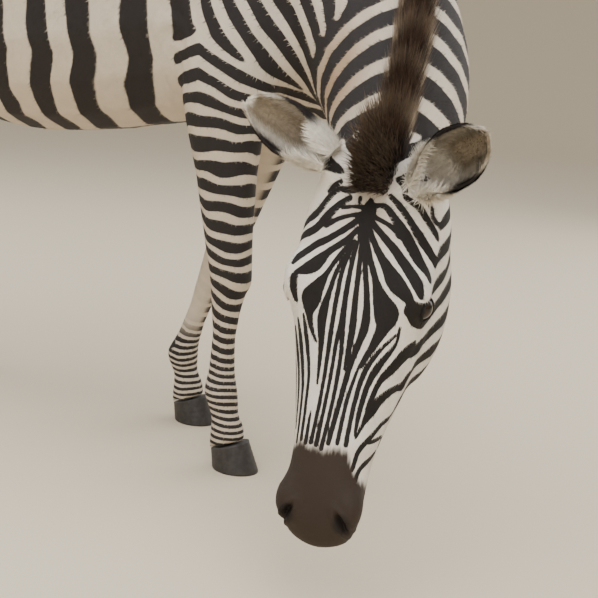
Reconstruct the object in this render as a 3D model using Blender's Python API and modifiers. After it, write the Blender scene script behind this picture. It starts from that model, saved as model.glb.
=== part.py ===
"""A plains zebra at life size, grazing with its head turned to its right.

The animal faces -Y and stands on z = 0. Each muscle mass is a loft or an ellipsoid. They are
joined into one body, smoothed, and parted into head, neck, trunk, legs and tail by thin cuts.
Ears, eyes, mane, forelock, tail tuft and hooves are their own pieces. All sizes are in metres.
"""

import math
from dataclasses import dataclass

import bmesh
import bpy
from mathutils import Matrix, Vector

# Driving sizes.
WITHERS_HEIGHT = 1.29
CROUP_HEIGHT = 1.275
BELLY_HEIGHT = 0.630
FORE_WIDTH = 0.105  # from the middle of the body to a front foot
HIND_WIDTH = 0.115
HEAD_LENGTH = 0.58
EYE_RADIUS = 0.0205
EYE_SIDE, EYE_ALONG, EYE_BELOW = 0.0955, 0.204, 0.052  # in the head's own frame
EAR_LENGTH = 0.156
EAR_THICKNESS = 0.0035
MANE_HEIGHT = 0.105
MANE_THICKNESS = 0.046
HOOF_LENGTH = 0.098
HOOF_WIDTH = 0.082
CORONET_TOE = 0.064  # heights of the hoof's upper edge
CORONET_HEEL = 0.036
CORONET_SHARE = 0.80  # its size against the sole's

# How far each foot stands from the plumb line of its own shoulder or hip, along Y.
FORE_STEP = {"right": -0.01, "left": 0.21}
HIND_STEP = {"right": 0.05, "left": -0.07}
SIDES = {"right": -1.0, "left": 1.0}

# How fine the body is.
CUT = 0.0003
VOXEL = 0.008
SMOOTHING_ROUNDS = 9
FACE_TRIANGLES = 12400  # of a whole body as fine as the head
BODY_TRIANGLES = 3220  # of a whole body as coarse as the trunk
RING_SIDES = 18
LOFT_STEPS = 5

# The head's own frame: the top of the poll, and the ways to its left, to its muzzle and below.
POLL = Vector((-0.460, -0.424, 0.684))
MUZZLEWARD = Vector((-0.281, -0.010, -0.960)).normalized()
HEAD_LEFT = Vector((0.100, -0.994, -0.020))
HEAD_LEFT = (HEAD_LEFT - HEAD_LEFT.dot(MUZZLEWARD) * MUZZLEWARD).normalized()
HEAD_BELOW = HEAD_LEFT.cross(MUZZLEWARD)

COLOURS = {
    "coat": (0.62, 0.57, 0.50, 1.0),
    "ear": (0.45, 0.39, 0.34, 1.0),
    "hair": (0.06, 0.045, 0.04, 1.0),
    "horn": (0.05, 0.048, 0.046, 1.0),
    "eye": (0.012, 0.008, 0.006, 1.0),
}
ROUGHNESS = {"coat": 0.85, "ear": 0.85, "hair": 0.8, "horn": 0.45, "eye": 0.08}


@dataclass
class Ring:
    """One cross-section of a loft: a rounded outline about a centre."""

    centre: Vector
    side: Vector
    top: Vector
    half_width: float
    above: float
    below: float
    top_power: float = 2.0
    low_power: float = 2.0

    def points(self):
        """The ring's corner points, counter-clockwise from its side."""
        found = []
        for step in range(RING_SIDES):
            angle = 2 * math.pi * step / RING_SIDES
            cosine, sine = math.cos(angle), math.sin(angle)
            power = self.top_power if sine >= 0 else self.low_power
            reach = self.above if sine >= 0 else self.below
            across = math.copysign(abs(cosine) ** (2 / power), cosine)
            height = math.copysign(abs(sine) ** (2 / power), sine)
            found.append(self.centre + self.side * across * self.half_width + self.top * height * reach)
        return found


def clear_scene():
    """Empties the startup scene."""
    for obj in list(bpy.data.objects):
        bpy.data.objects.remove(obj)


def collection(name, hidden=False):
    """A new collection linked to the scene."""
    made = bpy.data.collections.new(name)
    made.hide_render = hidden
    bpy.context.scene.collection.children.link(made)
    return made


def material(name):
    """A Principled material of a colour and roughness named at the top."""
    made = bpy.data.materials.get(name)
    if made:
        return made
    made = bpy.data.materials.new(name)
    made.use_nodes = True
    shader = made.node_tree.nodes["Principled BSDF"]
    shader.inputs["Base Color"].default_value = COLOURS[name]
    shader.inputs["Roughness"].default_value = ROUGHNESS[name]
    shader.inputs["Metallic"].default_value = 0.0
    made.diffuse_color = COLOURS[name]
    return made


def add_object(name, mesh, home):
    """An object of a mesh, linked to a collection."""
    obj = bpy.data.objects.new(name, mesh)
    home.objects.link(obj)
    return obj


def mesh_from(name, bm):
    """A mesh datablock of a finished bmesh, in triangles turned outward."""
    bmesh.ops.recalc_face_normals(bm, faces=bm.faces)
    bmesh.ops.triangulate(bm, faces=bm.faces)
    mesh = bpy.data.meshes.new(name)
    bm.to_mesh(mesh)
    bm.free()
    return mesh


def between(values, place):
    """The Catmull-Rom value at a place along a list of equal-length tuples."""
    index = min(int(place), len(values) - 2)
    t = place - index
    before = values[max(index - 1, 0)]
    start, end = values[index], values[index + 1]
    after = values[min(index + 2, len(values) - 1)]
    found = []
    for a, b, c, d in zip(before, start, end, after):
        slope = 0.5 * (c - a)
        curve = a - 2.5 * b + 2 * c - 0.5 * d
        twist = 0.5 * (d - a) + 1.5 * (b - c)
        found.append(b + t * (slope + t * (curve + t * twist)))
    return tuple(found)


def refined(stations):
    """The stations with LOFT_STEPS smooth steps put between each two."""
    count = (len(stations) - 1) * LOFT_STEPS
    return [between(stations, step / LOFT_STEPS) for step in range(count + 1)]


def loft(bm, rings):
    """Adds one closed skin over a row of rings."""
    rows = [[bm.verts.new(point) for point in ring.points()] for ring in rings]
    for first, second in zip(rows, rows[1:]):
        for step in range(RING_SIDES):
            after = (step + 1) % RING_SIDES
            bm.faces.new((first[step], first[after], second[after], second[step]))
    bm.faces.new(list(reversed(rows[0])))
    bm.faces.new(rows[-1])


def ellipsoid(bm, centre, axes, radii):
    """Adds a ball stretched along three axes."""
    turn = Matrix([axis * radius for axis, radius in zip(axes, radii)]).transposed().to_4x4()
    bmesh.ops.create_uvsphere(
        bm, u_segments=20, v_segments=12, radius=1.0, matrix=Matrix.Translation(centre) @ turn
    )


def head_point(left, along, below):
    """The world place of a point in the head's own frame."""
    return POLL + HEAD_LEFT * left + MUZZLEWARD * along + HEAD_BELOW * below


def apply_modifiers(obj):
    """Bakes an object's modifiers into its mesh."""
    graph = bpy.context.evaluated_depsgraph_get()
    mesh = bpy.data.meshes.new_from_object(obj.evaluated_get(graph))
    obj.modifiers.clear()
    old = obj.data
    obj.data = mesh
    bpy.data.meshes.remove(old)


def boolean(obj, cutter, operation):
    """Cuts, keeps or joins one object by another, and bakes the result."""
    step = obj.modifiers.new(operation.title(), "BOOLEAN")
    step.operation = operation
    step.solver = "EXACT"
    step.object = cutter
    apply_modifiers(obj)


def grown_copy(obj, amount, home):
    """A copy of an object with its surface moved outward."""
    copy = add_object(obj.name + "_grown", obj.data.copy(), home)
    bm = bmesh.new()
    bm.from_mesh(copy.data)
    bm.normal_update()
    for vert in bm.verts:
        vert.co += vert.normal * amount * max(1.0, vert.calc_shell_factor())
    bm.to_mesh(copy.data)
    bm.free()
    return copy


# ---------------------------------------------------------------- muscle masses


def trunk_rings():
    """The barrel, from breast to buttock, standing across Y."""
    # y, top, bottom, half width, top power, low power
    stations = [
        (-0.245, 1.060, 0.850, 0.060, 2.0, 2.0),
        (-0.225, 1.125, 0.790, 0.118, 1.8, 2.0),
        (-0.150, 1.218, 0.738, 0.172, 1.6, 2.1),
        (-0.050, 1.273, 0.704, 0.205, 1.6, 2.1),
        (0.070, WITHERS_HEIGHT, 0.690, 0.230, 1.6, 2.1),
        (0.200, 1.272, 0.668, 0.256, 1.8, 2.1),
        (0.350, 1.252, 0.642, 0.284, 2.0, 2.1),
        (0.500, 1.250, BELLY_HEIGHT, 0.296, 2.1, 2.1),
        (0.640, 1.262, 0.645, 0.288, 2.2, 2.1),
        (0.780, CROUP_HEIGHT, 0.706, 0.268, 2.1, 2.1),
        (0.900, 1.268, 0.795, 0.245, 2.1, 2.1),
        (1.000, 1.240, 0.860, 0.210, 2.0, 2.1),
        (1.080, 1.185, 0.900, 0.155, 2.0, 2.1),
        (1.120, 1.110, 0.960, 0.080, 2.0, 2.0),
    ]
    rings = []
    for y, top, bottom, half_width, top_power, low_power in refined(stations):
        middle = bottom + 0.46 * (top - bottom)
        centre = Vector((0, y, middle))
        sizes = (half_width, top - middle, middle - bottom, top_power, low_power)
        rings.append(Ring(centre, Vector((1, 0, 0)), Vector((0, 0, 1)), *sizes))
    return rings


def neck_frame(t):
    """(centre, along, side, crest) of the neck at t, from 0 in the trunk to 1 at the poll."""
    ends = (Vector((0, -0.06, 1.035)), head_point(0, 0.035, 0.105))
    handles = (Vector((-0.01, -0.30, 0.875)), Vector((-0.250, -0.395, 0.765)))
    s = 1 - t
    centre = ends[0] * s**3 + handles[0] * 3 * s * s * t + handles[1] * 3 * s * t * t + ends[1] * t**3
    along = (handles[0] - ends[0]) * s * s + (handles[1] - handles[0]) * 2 * s * t
    along = (along + (ends[1] - handles[1]) * t * t).normalized()
    crest = Vector((0, -0.30, 0.95)).lerp(Vector((-0.70, -0.26, 0.66)), t)
    crest = (crest - along * crest.dot(along)).normalized()
    return centre, along, along.cross(crest), crest


# t along the neck, half width, above the middle, below it
NECK_STATIONS = [
    (0.00, 0.182, 0.190, 0.250),
    (0.18, 0.168, 0.212, 0.225),
    (0.36, 0.151, 0.186, 0.190),
    (0.54, 0.136, 0.160, 0.160),
    (0.72, 0.117, 0.140, 0.142),
    (0.88, 0.100, 0.122, 0.130),
    (1.00, 0.090, 0.102, 0.120),
]


def neck_rings():
    """The neck, from inside the trunk to inside the head."""
    rings = []
    for t, half_width, above, below in refined(NECK_STATIONS):
        centre, _, side, crest = neck_frame(t)
        rings.append(Ring(centre, side, crest, half_width, above, below, 1.7, 2.0))
    return rings


def head_rings():
    """The skull, from the poll to the lips."""
    # along, top, bottom, half width, top power, low power: depths are below the line of the face
    stations = [
        (-0.035, 0.045, 0.150, 0.060, 2.0, 2.0),
        (-0.010, 0.014, 0.190, 0.088, 2.1, 2.0),
        (0.050, 0.004, 0.230, 0.108, 2.2, 2.2),
        (0.110, 0.001, 0.252, 0.115, 2.4, 2.4),
        (0.170, 0.000, 0.257, 0.114, 2.7, 2.5),
        (0.225, 0.003, 0.252, 0.106, 2.7, 2.4),
        (0.285, 0.009, 0.241, 0.095, 2.4, 2.3),
        (0.345, 0.014, 0.213, 0.081, 2.3, 2.2),
        (0.405, 0.016, 0.177, 0.067, 2.4, 2.2),
        (0.455, 0.016, 0.154, 0.060, 2.5, 2.3),
        (0.500, 0.018, 0.141, 0.061, 2.6, 2.3),
        (0.540, 0.026, 0.133, 0.059, 2.5, 2.3),
        (0.568, 0.045, 0.116, 0.047, 2.2, 2.2),
        (HEAD_LENGTH, 0.066, 0.096, 0.022, 2.0, 2.0),
    ]
    rings = []
    for along, top, bottom, half_width, top_power, low_power in refined(stations):
        middle = top + 0.42 * (bottom - top)
        sizes = (half_width, middle - top, bottom - middle, top_power, low_power)
        rings.append(Ring(head_point(0, along, middle), -HEAD_LEFT, -HEAD_BELOW, *sizes))
    return rings


def leg_rings(stations):
    """A leg's level sections from (x, y, z, half width, front reach, back reach) stations."""
    rings = []
    for x, y, z, half_width, front, back in refined(stations):
        rings.append(Ring(Vector((x, y, z)), Vector((-1, 0, 0)), Vector((0, -1, 0)), half_width, front, back))
    return rings


def fore_stations(side):
    """A front leg, from the shoulder to the coronet. Its foot is set back by the step."""
    sign = SIDES[side]
    step = FORE_STEP[side]
    # how far along the step, x, y, z, half width, front, back
    plan = [
        (0.00, 0.130, 0.020, 1.060, 0.060, 0.110, 0.110),
        (0.00, 0.145, 0.000, 0.930, 0.076, 0.150, 0.125),
        (0.10, 0.150, 0.005, 0.800, 0.076, 0.120, 0.095),
        (0.20, 0.146, 0.008, 0.700, 0.066, 0.092, 0.076),
        (0.36, 0.136, 0.004, 0.600, 0.056, 0.070, 0.060),
        (0.50, 0.124, 0.000, 0.500, 0.047, 0.057, 0.052),
        (0.60, 0.115, -0.004, 0.430, 0.044, 0.050, 0.047),
        (0.65, 0.111, -0.006, 0.390, 0.043, 0.047, 0.044),
        (0.72, 0.108, -0.002, 0.345, 0.032, 0.034, 0.038),
        (0.82, 0.106, 0.002, 0.270, 0.025, 0.026, 0.031),
        (0.93, 0.105, 0.004, 0.195, 0.027, 0.028, 0.036),
        (1.00, FORE_WIDTH, 0.002, 0.155, 0.036, 0.034, 0.046),
        (1.00, FORE_WIDTH, -0.006, 0.112, 0.030, 0.030, 0.034),
        (1.00, FORE_WIDTH, -0.014, 0.078, 0.036, 0.038, 0.038),
        (1.00, FORE_WIDTH, -0.015, 0.006, 0.037, 0.041, 0.043),
    ]
    return [(sign * x, y + share * step, z, wide, front, back) for share, x, y, z, wide, front, back in plan]


def hind_stations(side):
    """A back leg, from the hip to the coronet."""
    sign = SIDES[side]
    step = HIND_STEP[side]
    plan = [
        (0.00, 0.110, 0.890, 1.100, 0.095, 0.150, 0.150),
        (0.00, 0.135, 0.890, 0.980, 0.105, 0.175, 0.185),
        (0.10, 0.142, 0.880, 0.860, 0.098, 0.150, 0.180),
        (0.25, 0.142, 0.885, 0.760, 0.078, 0.115, 0.135),
        (0.40, 0.134, 0.925, 0.660, 0.056, 0.082, 0.088),
        (0.60, 0.124, 0.985, 0.570, 0.040, 0.052, 0.062),
        (0.75, 0.119, 1.020, 0.505, 0.038, 0.046, 0.062),
        (0.85, 0.117, 1.020, 0.440, 0.033, 0.038, 0.044),
        (0.92, 0.116, 1.005, 0.360, 0.025, 0.029, 0.034),
        (0.97, 0.115, 0.995, 0.270, 0.024, 0.027, 0.032),
        (1.00, 0.115, 0.988, 0.205, 0.028, 0.029, 0.036),
        (1.00, HIND_WIDTH, 0.984, 0.160, 0.036, 0.034, 0.046),
        (1.00, HIND_WIDTH, 0.970, 0.114, 0.030, 0.030, 0.034),
        (1.00, HIND_WIDTH, 0.958, 0.078, 0.036, 0.038, 0.038),
        (1.00, HIND_WIDTH, 0.957, 0.006, 0.037, 0.041, 0.043),
    ]
    return [(sign * x, y + share * step, z, wide, front, back) for share, x, y, z, wide, front, back in plan]


def tail_rings():
    """The dock, hanging close behind the buttocks."""
    # y, z, radius
    stations = [
        (1.040, 1.175, 0.034),
        (1.105, 1.165, 0.033),
        (1.160, 1.110, 0.028),
        (1.180, 1.010, 0.024),
        (1.186, 0.900, 0.021),
        (1.184, 0.790, 0.019),
    ]
    places = refined(stations)
    rings = []
    for index, (y, z, radius) in enumerate(places):
        before = places[max(index - 1, 0)]
        after = places[min(index + 1, len(places) - 1)]
        along = Vector((0, after[0] - before[0], after[1] - before[1])).normalized()
        side = Vector((1, 0, 0))
        rings.append(Ring(Vector((0, y, z)), side, side.cross(along), radius, radius, radius))
    return rings


def add_body_masses(bm):
    """Adds the muscles that the lofts don't give: shoulders, haunches, breast and groin folds."""
    upright = (Vector((1, 0, 0)), Vector((0, 1, 0)), Vector((0, 0, 1)))
    for sign in SIDES.values():
        ellipsoid(bm, Vector((sign * 0.124, -0.040, 0.980)), upright, (0.092, 0.150, 0.180))
        ellipsoid(bm, Vector((sign * 0.098, -0.120, 0.870)), upright, (0.088, 0.115, 0.110))
        ellipsoid(bm, Vector((sign * 0.122, 0.905, 1.035)), upright, (0.120, 0.178, 0.185))
        ellipsoid(bm, Vector((sign * 0.155, 0.790, 0.840)), upright, (0.085, 0.120, 0.110))
        ellipsoid(bm, Vector((sign * 0.115, 1.075 + HIND_STEP["left"] * 0.2, 0.555)), upright,
            (0.022, 0.030, 0.045))
    ellipsoid(bm, Vector((0, -0.120, 0.790)), upright, (0.110, 0.110, 0.090))


def add_head_masses(bm):
    """Adds the brows, cheeks, facial ridges, nostrils, lips and chin to the skull."""
    axes = (HEAD_LEFT, MUZZLEWARD, HEAD_BELOW)
    for sign in SIDES.values():
        ellipsoid(bm, head_point(sign * 0.092, 0.186, 0.036), axes, (0.025, 0.046, 0.026))
        ellipsoid(bm, head_point(sign * 0.089, 0.214, 0.068), axes, (0.021, 0.042, 0.024))
        ellipsoid(bm, head_point(sign * 0.062, 0.190, 0.170), axes, (0.056, 0.140, 0.094))
        ellipsoid(bm, head_point(sign * 0.064, 0.285, 0.092), axes, (0.018, 0.085, 0.018))
        ellipsoid(bm, head_point(sign * 0.047, 0.512, 0.048), axes, (0.023, 0.038, 0.030))
        ellipsoid(bm, head_point(sign * 0.054, 0.024, 0.042), axes, (0.032, 0.036, 0.040))
    ellipsoid(bm, head_point(0, 0.552, 0.074), axes, (0.049, 0.032, 0.034))
    ellipsoid(bm, head_point(0, 0.528, 0.122), axes, (0.038, 0.042, 0.024))


def flesh(name, fill, home):
    """One object of overlapping closed masses, not yet joined."""
    bm = bmesh.new()
    fill(bm)
    return add_object(name, mesh_from(name, bm), home)


def fill_body(bm):
    """Every loft and mass of the body."""
    loft(bm, trunk_rings())
    loft(bm, neck_rings())
    loft(bm, head_rings())
    loft(bm, tail_rings())
    for side in SIDES:
        loft(bm, leg_rings(fore_stations(side)))
        loft(bm, leg_rings(hind_stations(side)))
    add_body_masses(bm)
    add_head_masses(bm)


def whole_body(home):
    """The joined and smoothed body, with fine facets."""
    body = flesh("body", fill_body, home)
    remesh = body.modifiers.new("Join", "REMESH")
    remesh.mode = "VOXEL"
    remesh.voxel_size = VOXEL
    smooth = body.modifiers.new("Smooth", "SMOOTH")
    smooth.factor = 0.5
    smooth.iterations = SMOOTHING_ROUNDS
    apply_modifiers(body)
    return body


def thinned(body, name, triangles, home):
    """A copy of the body with fewer, larger facets."""
    copy = add_object(name, body.data.copy(), home)
    thin = copy.modifiers.new("Thin", "DECIMATE")
    thin.ratio = triangles / (2 * len(body.data.polygons))
    thin.use_collapse_triangulate = True
    apply_modifiers(copy)
    return copy


# ---------------------------------------------------------------- parting the body


def slab(name, centre, normal, size, depth, home):
    """A box whose one large face lies at a centre and faces a normal; the box lies behind it."""
    bm = bmesh.new()
    bmesh.ops.create_cube(bm, size=1.0)
    turn = normal.to_track_quat("Z", "Y").to_matrix().to_4x4()
    scale = Matrix.Diagonal((size[0], size[1], depth, 1.0))
    shift = Matrix.Translation(Vector((0, 0, -depth / 2)))
    bmesh.ops.transform(bm, verts=bm.verts, matrix=Matrix.Translation(centre) @ turn @ shift @ scale)
    return add_object(name, mesh_from(name, bm), home)


def leg_block(name, top, size, slope, lean, grow, home):
    """A block round a whole leg. Its top slopes along X, and it leans back along Y as it goes down."""
    bm = bmesh.new()
    bmesh.ops.create_cube(bm, size=2.0)
    for vert in bm.verts:
        x = vert.co.x * (size[0] / 2 + grow)
        z = top.z + slope * x + grow * 1.1 if vert.co.z > 0 else -0.1
        y = vert.co.y * (size[1] / 2 + grow) + lean * (top.z - z)
        vert.co = Vector((top.x + x, top.y + y, z))
    return add_object(name, mesh_from(name, bm), home)


def part_off(body, name, make_cutter, home):
    """Takes what lies inside a cutter off the body, and makes it a piece of its own."""
    piece = add_object(name, body.data.copy(), home)
    boolean(piece, make_cutter(name + "_keep", 0.0), "INTERSECT")
    boolean(body, make_cutter(name + "_away", CUT), "DIFFERENCE")
    return piece


def slab_cutter(centre, normal, size, depth, helpers):
    """A maker of slabs at one place, each grown by the amount that it is asked for."""

    def make(label, grow):
        grown = (size[0] + 2 * grow, size[1] + 2 * grow)
        return slab(label, centre + normal * grow, normal, grown, depth + 2 * grow, helpers)

    return make


def keep_largest(obj):
    """Drops the crumbs that a cut may leave beside the main piece."""
    bm = bmesh.new()
    bm.from_mesh(obj.data)
    left = set(bm.verts)
    islands = []
    while left:
        stack = [left.pop()]
        island = list(stack)
        while stack:
            for edge in stack.pop().link_edges:
                for vert in edge.verts:
                    if vert in left:
                        left.remove(vert)
                        stack.append(vert)
                        island.append(vert)
        islands.append(island)
    main = max(islands, key=len)
    loose = [vert for island in islands if island is not main for vert in island]
    bmesh.ops.delete(bm, geom=loose, context="VERTS")
    bm.to_mesh(obj.data)
    bm.free()


def station_at(stations, height):
    """The middle of a leg at a height."""
    for above, below in zip(stations, stations[1:]):
        if below[2] <= height:
            share = (above[2] - height) / (above[2] - below[2])
            return Vector(above[:3]).lerp(Vector(below[:3]), share)
    return Vector(stations[-1][:3])


def part_legs(body, home, helpers):
    """Parts each leg from the trunk, and its shank from its upper half."""
    pieces = []
    plans = (
        ("front", fore_stations, 0.405, 0.735, 0.215),
        ("back", hind_stations, 0.470, 0.800, 0.340),
    )
    for side, sign in SIDES.items():
        for place, stations_of, joint, shoulder, long in plans:
            stations = stations_of(side)
            low = station_at(stations, joint)
            cutter = slab_cutter(low, Vector((0, 0, 1)), (0.20, 0.36), 0.6, helpers)
            lower = part_off(body, f"lower_leg_{place}_{side}", cutter, home)
            top = station_at(stations, shoulder)
            top.x = sign * 0.17
            lean = (low.y - top.y) / (shoulder - joint)

            def block(label, grow, top=top, long=long, slope=sign * 0.45, lean=lean):
                return leg_block(label, top, (0.30, long), slope, lean, grow, helpers)

            upper = part_off(body, f"upper_leg_{place}_{side}", block, home)
            pieces += [upper, lower]
    return pieces


def part_head(fine, coarse, home, helpers):
    """Parts the head, off the finer body, and leaves the coarser body without it."""
    centre, along, _, _ = neck_frame(0.90)
    facing = (-MUZZLEWARD * 0.75 - along * 0.66).normalized()
    cutter = slab_cutter(centre, facing, (0.6, 0.6), 0.9, helpers)
    head = part_off(fine, "head", cutter, home)
    part_off(coarse, "spare_head", cutter, helpers)
    return head


def part_neck_and_tail(body, home, helpers):
    """Parts the neck and the dock from what is left, which is the trunk."""
    centre, _, _, _ = neck_frame(0.38)
    facing = Vector((0.22, 0.86, 0.46)).normalized()
    neck = part_off(body, "neck", slab_cutter(centre, facing, (0.9, 0.9), 1.2, helpers), home)
    root = slab_cutter(Vector((0, 1.142, 1.000)), Vector((0, -1, 0)), (0.16, 0.7), 0.2, helpers)
    dock = part_off(body, "tail_dock", root, home)
    body.name = "trunk"
    return [body, neck, dock]


# ---------------------------------------------------------------- separate pieces


def foot_place(place, side):
    """The plan position (x, y) of a foot."""
    stations = fore_stations(side) if place == "front" else hind_stations(side)
    return stations[-2][0], stations[-2][1]


def hoof(place, side, home):
    """A horn hoof: flat sole on the floor, wall leaning forward, coronet sloping down behind."""
    x, y = foot_place(place, side)
    # height at the toe and at the heel, forward shift, share of the full size
    levels = [
        (0.000, 0.000, -0.016, 1.00),
        (0.006, 0.006, -0.016, 1.00),
        (CORONET_TOE, CORONET_HEEL, 0.000, CORONET_SHARE),
    ]
    bm = bmesh.new()
    rows = []
    for toe, heel, shift, share in levels:
        row = []
        for step in range(RING_SIDES):
            angle = 2 * math.pi * step / RING_SIDES
            across = math.sin(angle) * HOOF_WIDTH / 2 * share
            ahead = math.cos(angle)
            height = heel + (toe - heel) * (1 + ahead) / 2
            row.append(bm.verts.new((x + across, y + shift - ahead * HOOF_LENGTH / 2 * share, height)))
        rows.append(row)
    for first, second in zip(rows, rows[1:]):
        for step in range(RING_SIDES):
            after = (step + 1) % RING_SIDES
            bm.faces.new((first[step], first[after], second[after], second[step]))
    bm.faces.new(list(reversed(rows[0])))
    bm.faces.new(rows[-1])
    return add_object(f"hoof_{place}_{side}", mesh_from("hoof", bm), home)


def part_hoof_from_leg(leg, place, side, helpers):
    """Ends the leg just above the sloping coronet of its hoof."""
    x, y = foot_place(place, side)
    slope = (CORONET_TOE - CORONET_HEEL) / (HOOF_LENGTH * CORONET_SHARE)
    normal = Vector((0, slope, 1)).normalized()
    middle = Vector((x, y, (CORONET_TOE + CORONET_HEEL) / 2 + CUT))
    away = slab(leg.name + "_sole", middle, normal, (0.3, 0.4), 0.3, helpers)
    boolean(leg, away, "DIFFERENCE")


@dataclass
class EarPose:
    """Where an ear grows, the way it points and the way its opening faces."""

    root: Vector
    point: Vector
    face: Vector


def ear(side, pose, home):
    """A curled ear: a tube at the root that opens into a rounded cup with a soft point."""
    point = pose.point.normalized()
    face = (pose.face - point * pose.face.dot(point)).normalized()
    across = point.cross(face)
    # share of the length, radius, half the arc of the wall in degrees, depth against width
    stations = [
        (0.00, 0.024, 165, 1.00),
        (0.16, 0.029, 150, 0.95),
        (0.34, 0.037, 122, 0.85),
        (0.55, 0.041, 104, 0.66),
        (0.76, 0.034, 92, 0.50),
        (0.91, 0.021, 88, 0.42),
        (1.00, 0.006, 86, 0.40),
    ]
    bm = bmesh.new()
    rows = []
    steps = 8
    for share, radius, arc, flat in refined(stations)[::3]:
        row = []
        for step in range(steps + 1):
            angle = math.radians(arc) * (2 * step / steps - 1)
            out = across * math.sin(angle) * radius
            back = -face * (math.cos(angle) * radius * flat)
            bend = face * (0.012 * share * share)
            row.append(bm.verts.new(pose.root + point * share * EAR_LENGTH + out + back + bend))
        rows.append(row)
    for first, second in zip(rows, rows[1:]):
        for step in range(steps):
            bm.faces.new((first[step], first[step + 1], second[step + 1], second[step]))
    obj = add_object(f"ear_{side}", mesh_from("ear", bm), home)
    wall = obj.modifiers.new("Wall", "SOLIDIFY")
    wall.thickness = EAR_THICKNESS
    wall.offset = 0.0
    wall.use_even_offset = True
    apply_modifiers(obj)
    return obj


def eye(side, home):
    """A round eyeball."""
    bm = bmesh.new()
    centre = head_point(SIDES[side] * EYE_SIDE, EYE_ALONG, EYE_BELOW)
    bmesh.ops.create_uvsphere(
        bm, u_segments=14, v_segments=9, radius=EYE_RADIUS, matrix=Matrix.Translation(centre)
    )
    return add_object(f"eye_{side}", mesh_from("eye", bm), home)


def crest_blade(name, places, home):
    """A standing blade of hair over (foot, up, across, height, thickness) places."""
    # share of half the thickness, share of the height
    outline = [(-1.0, -0.30), (-1.0, 0.45), (-0.6, 0.88), (0.0, 1.0), (0.6, 0.88), (1.0, 0.45), (1.0, -0.30)]
    bm = bmesh.new()
    rows = []
    for foot, up, across, height, thickness in places:
        half = thickness / 2
        rows.append([bm.verts.new(foot + across * u * half + up * v * height) for u, v in outline])
    count = len(outline)
    for first, second in zip(rows, rows[1:]):
        for step in range(count):
            after = (step + 1) % count
            bm.faces.new((first[step], first[after], second[after], second[step]))
    bm.faces.new(list(reversed(rows[0])))
    bm.faces.new(rows[-1])
    return add_object(name, mesh_from(name, bm), home)


def mane_places():
    """The blade's stations from the withers to the poll. It rises from nothing at the withers."""
    places = []
    count = 16
    for index in range(count + 1):
        share = index / count
        centre, _, side, crest = neck_frame(share)
        above = between(NECK_STATIONS, share / 0.18 if share < 0.72 else 4 + (share - 0.72) / 0.16)[2]
        height = MANE_HEIGHT * min(1.0, 0.25 + 2.2 * share) * (1 - 0.12 * share)
        thickness = MANE_THICKNESS * (1 + 0.15 * share)
        places.append((centre + crest * (above - 0.008), crest, side, height, thickness))
    return places


def forelock_places():
    """The bushy tuft from the poll to between the ears, leaning over the forehead."""
    places = []
    count = 6
    for index in range(count + 1):
        share = index / count
        foot = head_point(0.006, -0.035 + 0.080 * share, 0.030 - 0.022 * share)
        up = (-HEAD_BELOW - MUZZLEWARD * (0.45 - 0.55 * share)).normalized()
        thickness = MANE_THICKNESS * (1.08 + 0.34 * math.sin(math.pi * share))
        places.append((foot, up, HEAD_LEFT, MANE_HEIGHT * (0.88 - 0.30 * share * share), thickness))
    return places


def tail_tuft(home):
    """The long hair that hangs from the end of the dock."""
    # y, z, radius
    stations = [
        (1.184, 0.7897, 0.024),
        (1.184, 0.760, 0.031),
        (1.182, 0.690, 0.038),
        (1.178, 0.600, 0.036),
        (1.174, 0.520, 0.026),
        (1.172, 0.455, 0.008),
    ]
    bm = bmesh.new()
    rings = []
    for y, z, radius in refined(stations):
        rings.append(Ring(Vector((0, y, z)), Vector((-1, 0, 0)), Vector((0, -1, 0)), radius, radius, radius))
    loft(bm, rings[::3] + [rings[-1]])
    return add_object("tail_tuft", mesh_from("tail_tuft", bm), home)


def ear_poses():
    """Both ears: the right held out and back, the left turned forward."""
    right = EarPose(
        root=head_point(-0.068, 0.010, 0.022),
        point=Vector((-0.05, 0.84, 0.46)),
        face=Vector((-0.86, -0.20, -0.10)),
    )
    left = EarPose(
        root=head_point(0.072, 0.032, 0.020),
        point=Vector((-0.40, -0.70, 0.56)),
        face=Vector((-0.86, 0.20, -0.30)),
    )
    return {"right": right, "left": left}


def dress(obj, name):
    """Gives an object its one material."""
    obj.data.materials.clear()
    obj.data.materials.append(material(name))
    for face in obj.data.polygons:
        face.material_index = 0


def centre_on_floor(pieces):
    """Moves the zebra so that the middle of its box's underside is at the origin."""
    corners = [vert.co for piece in pieces for vert in piece.data.vertices]
    lows = [min(corner[axis] for corner in corners) for axis in range(3)]
    highs = [max(corner[axis] for corner in corners) for axis in range(3)]
    middle = Vector(((lows[0] + highs[0]) / 2, (lows[1] + highs[1]) / 2, lows[2]))
    for piece in pieces:
        piece.data.transform(Matrix.Translation(-middle))


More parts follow.
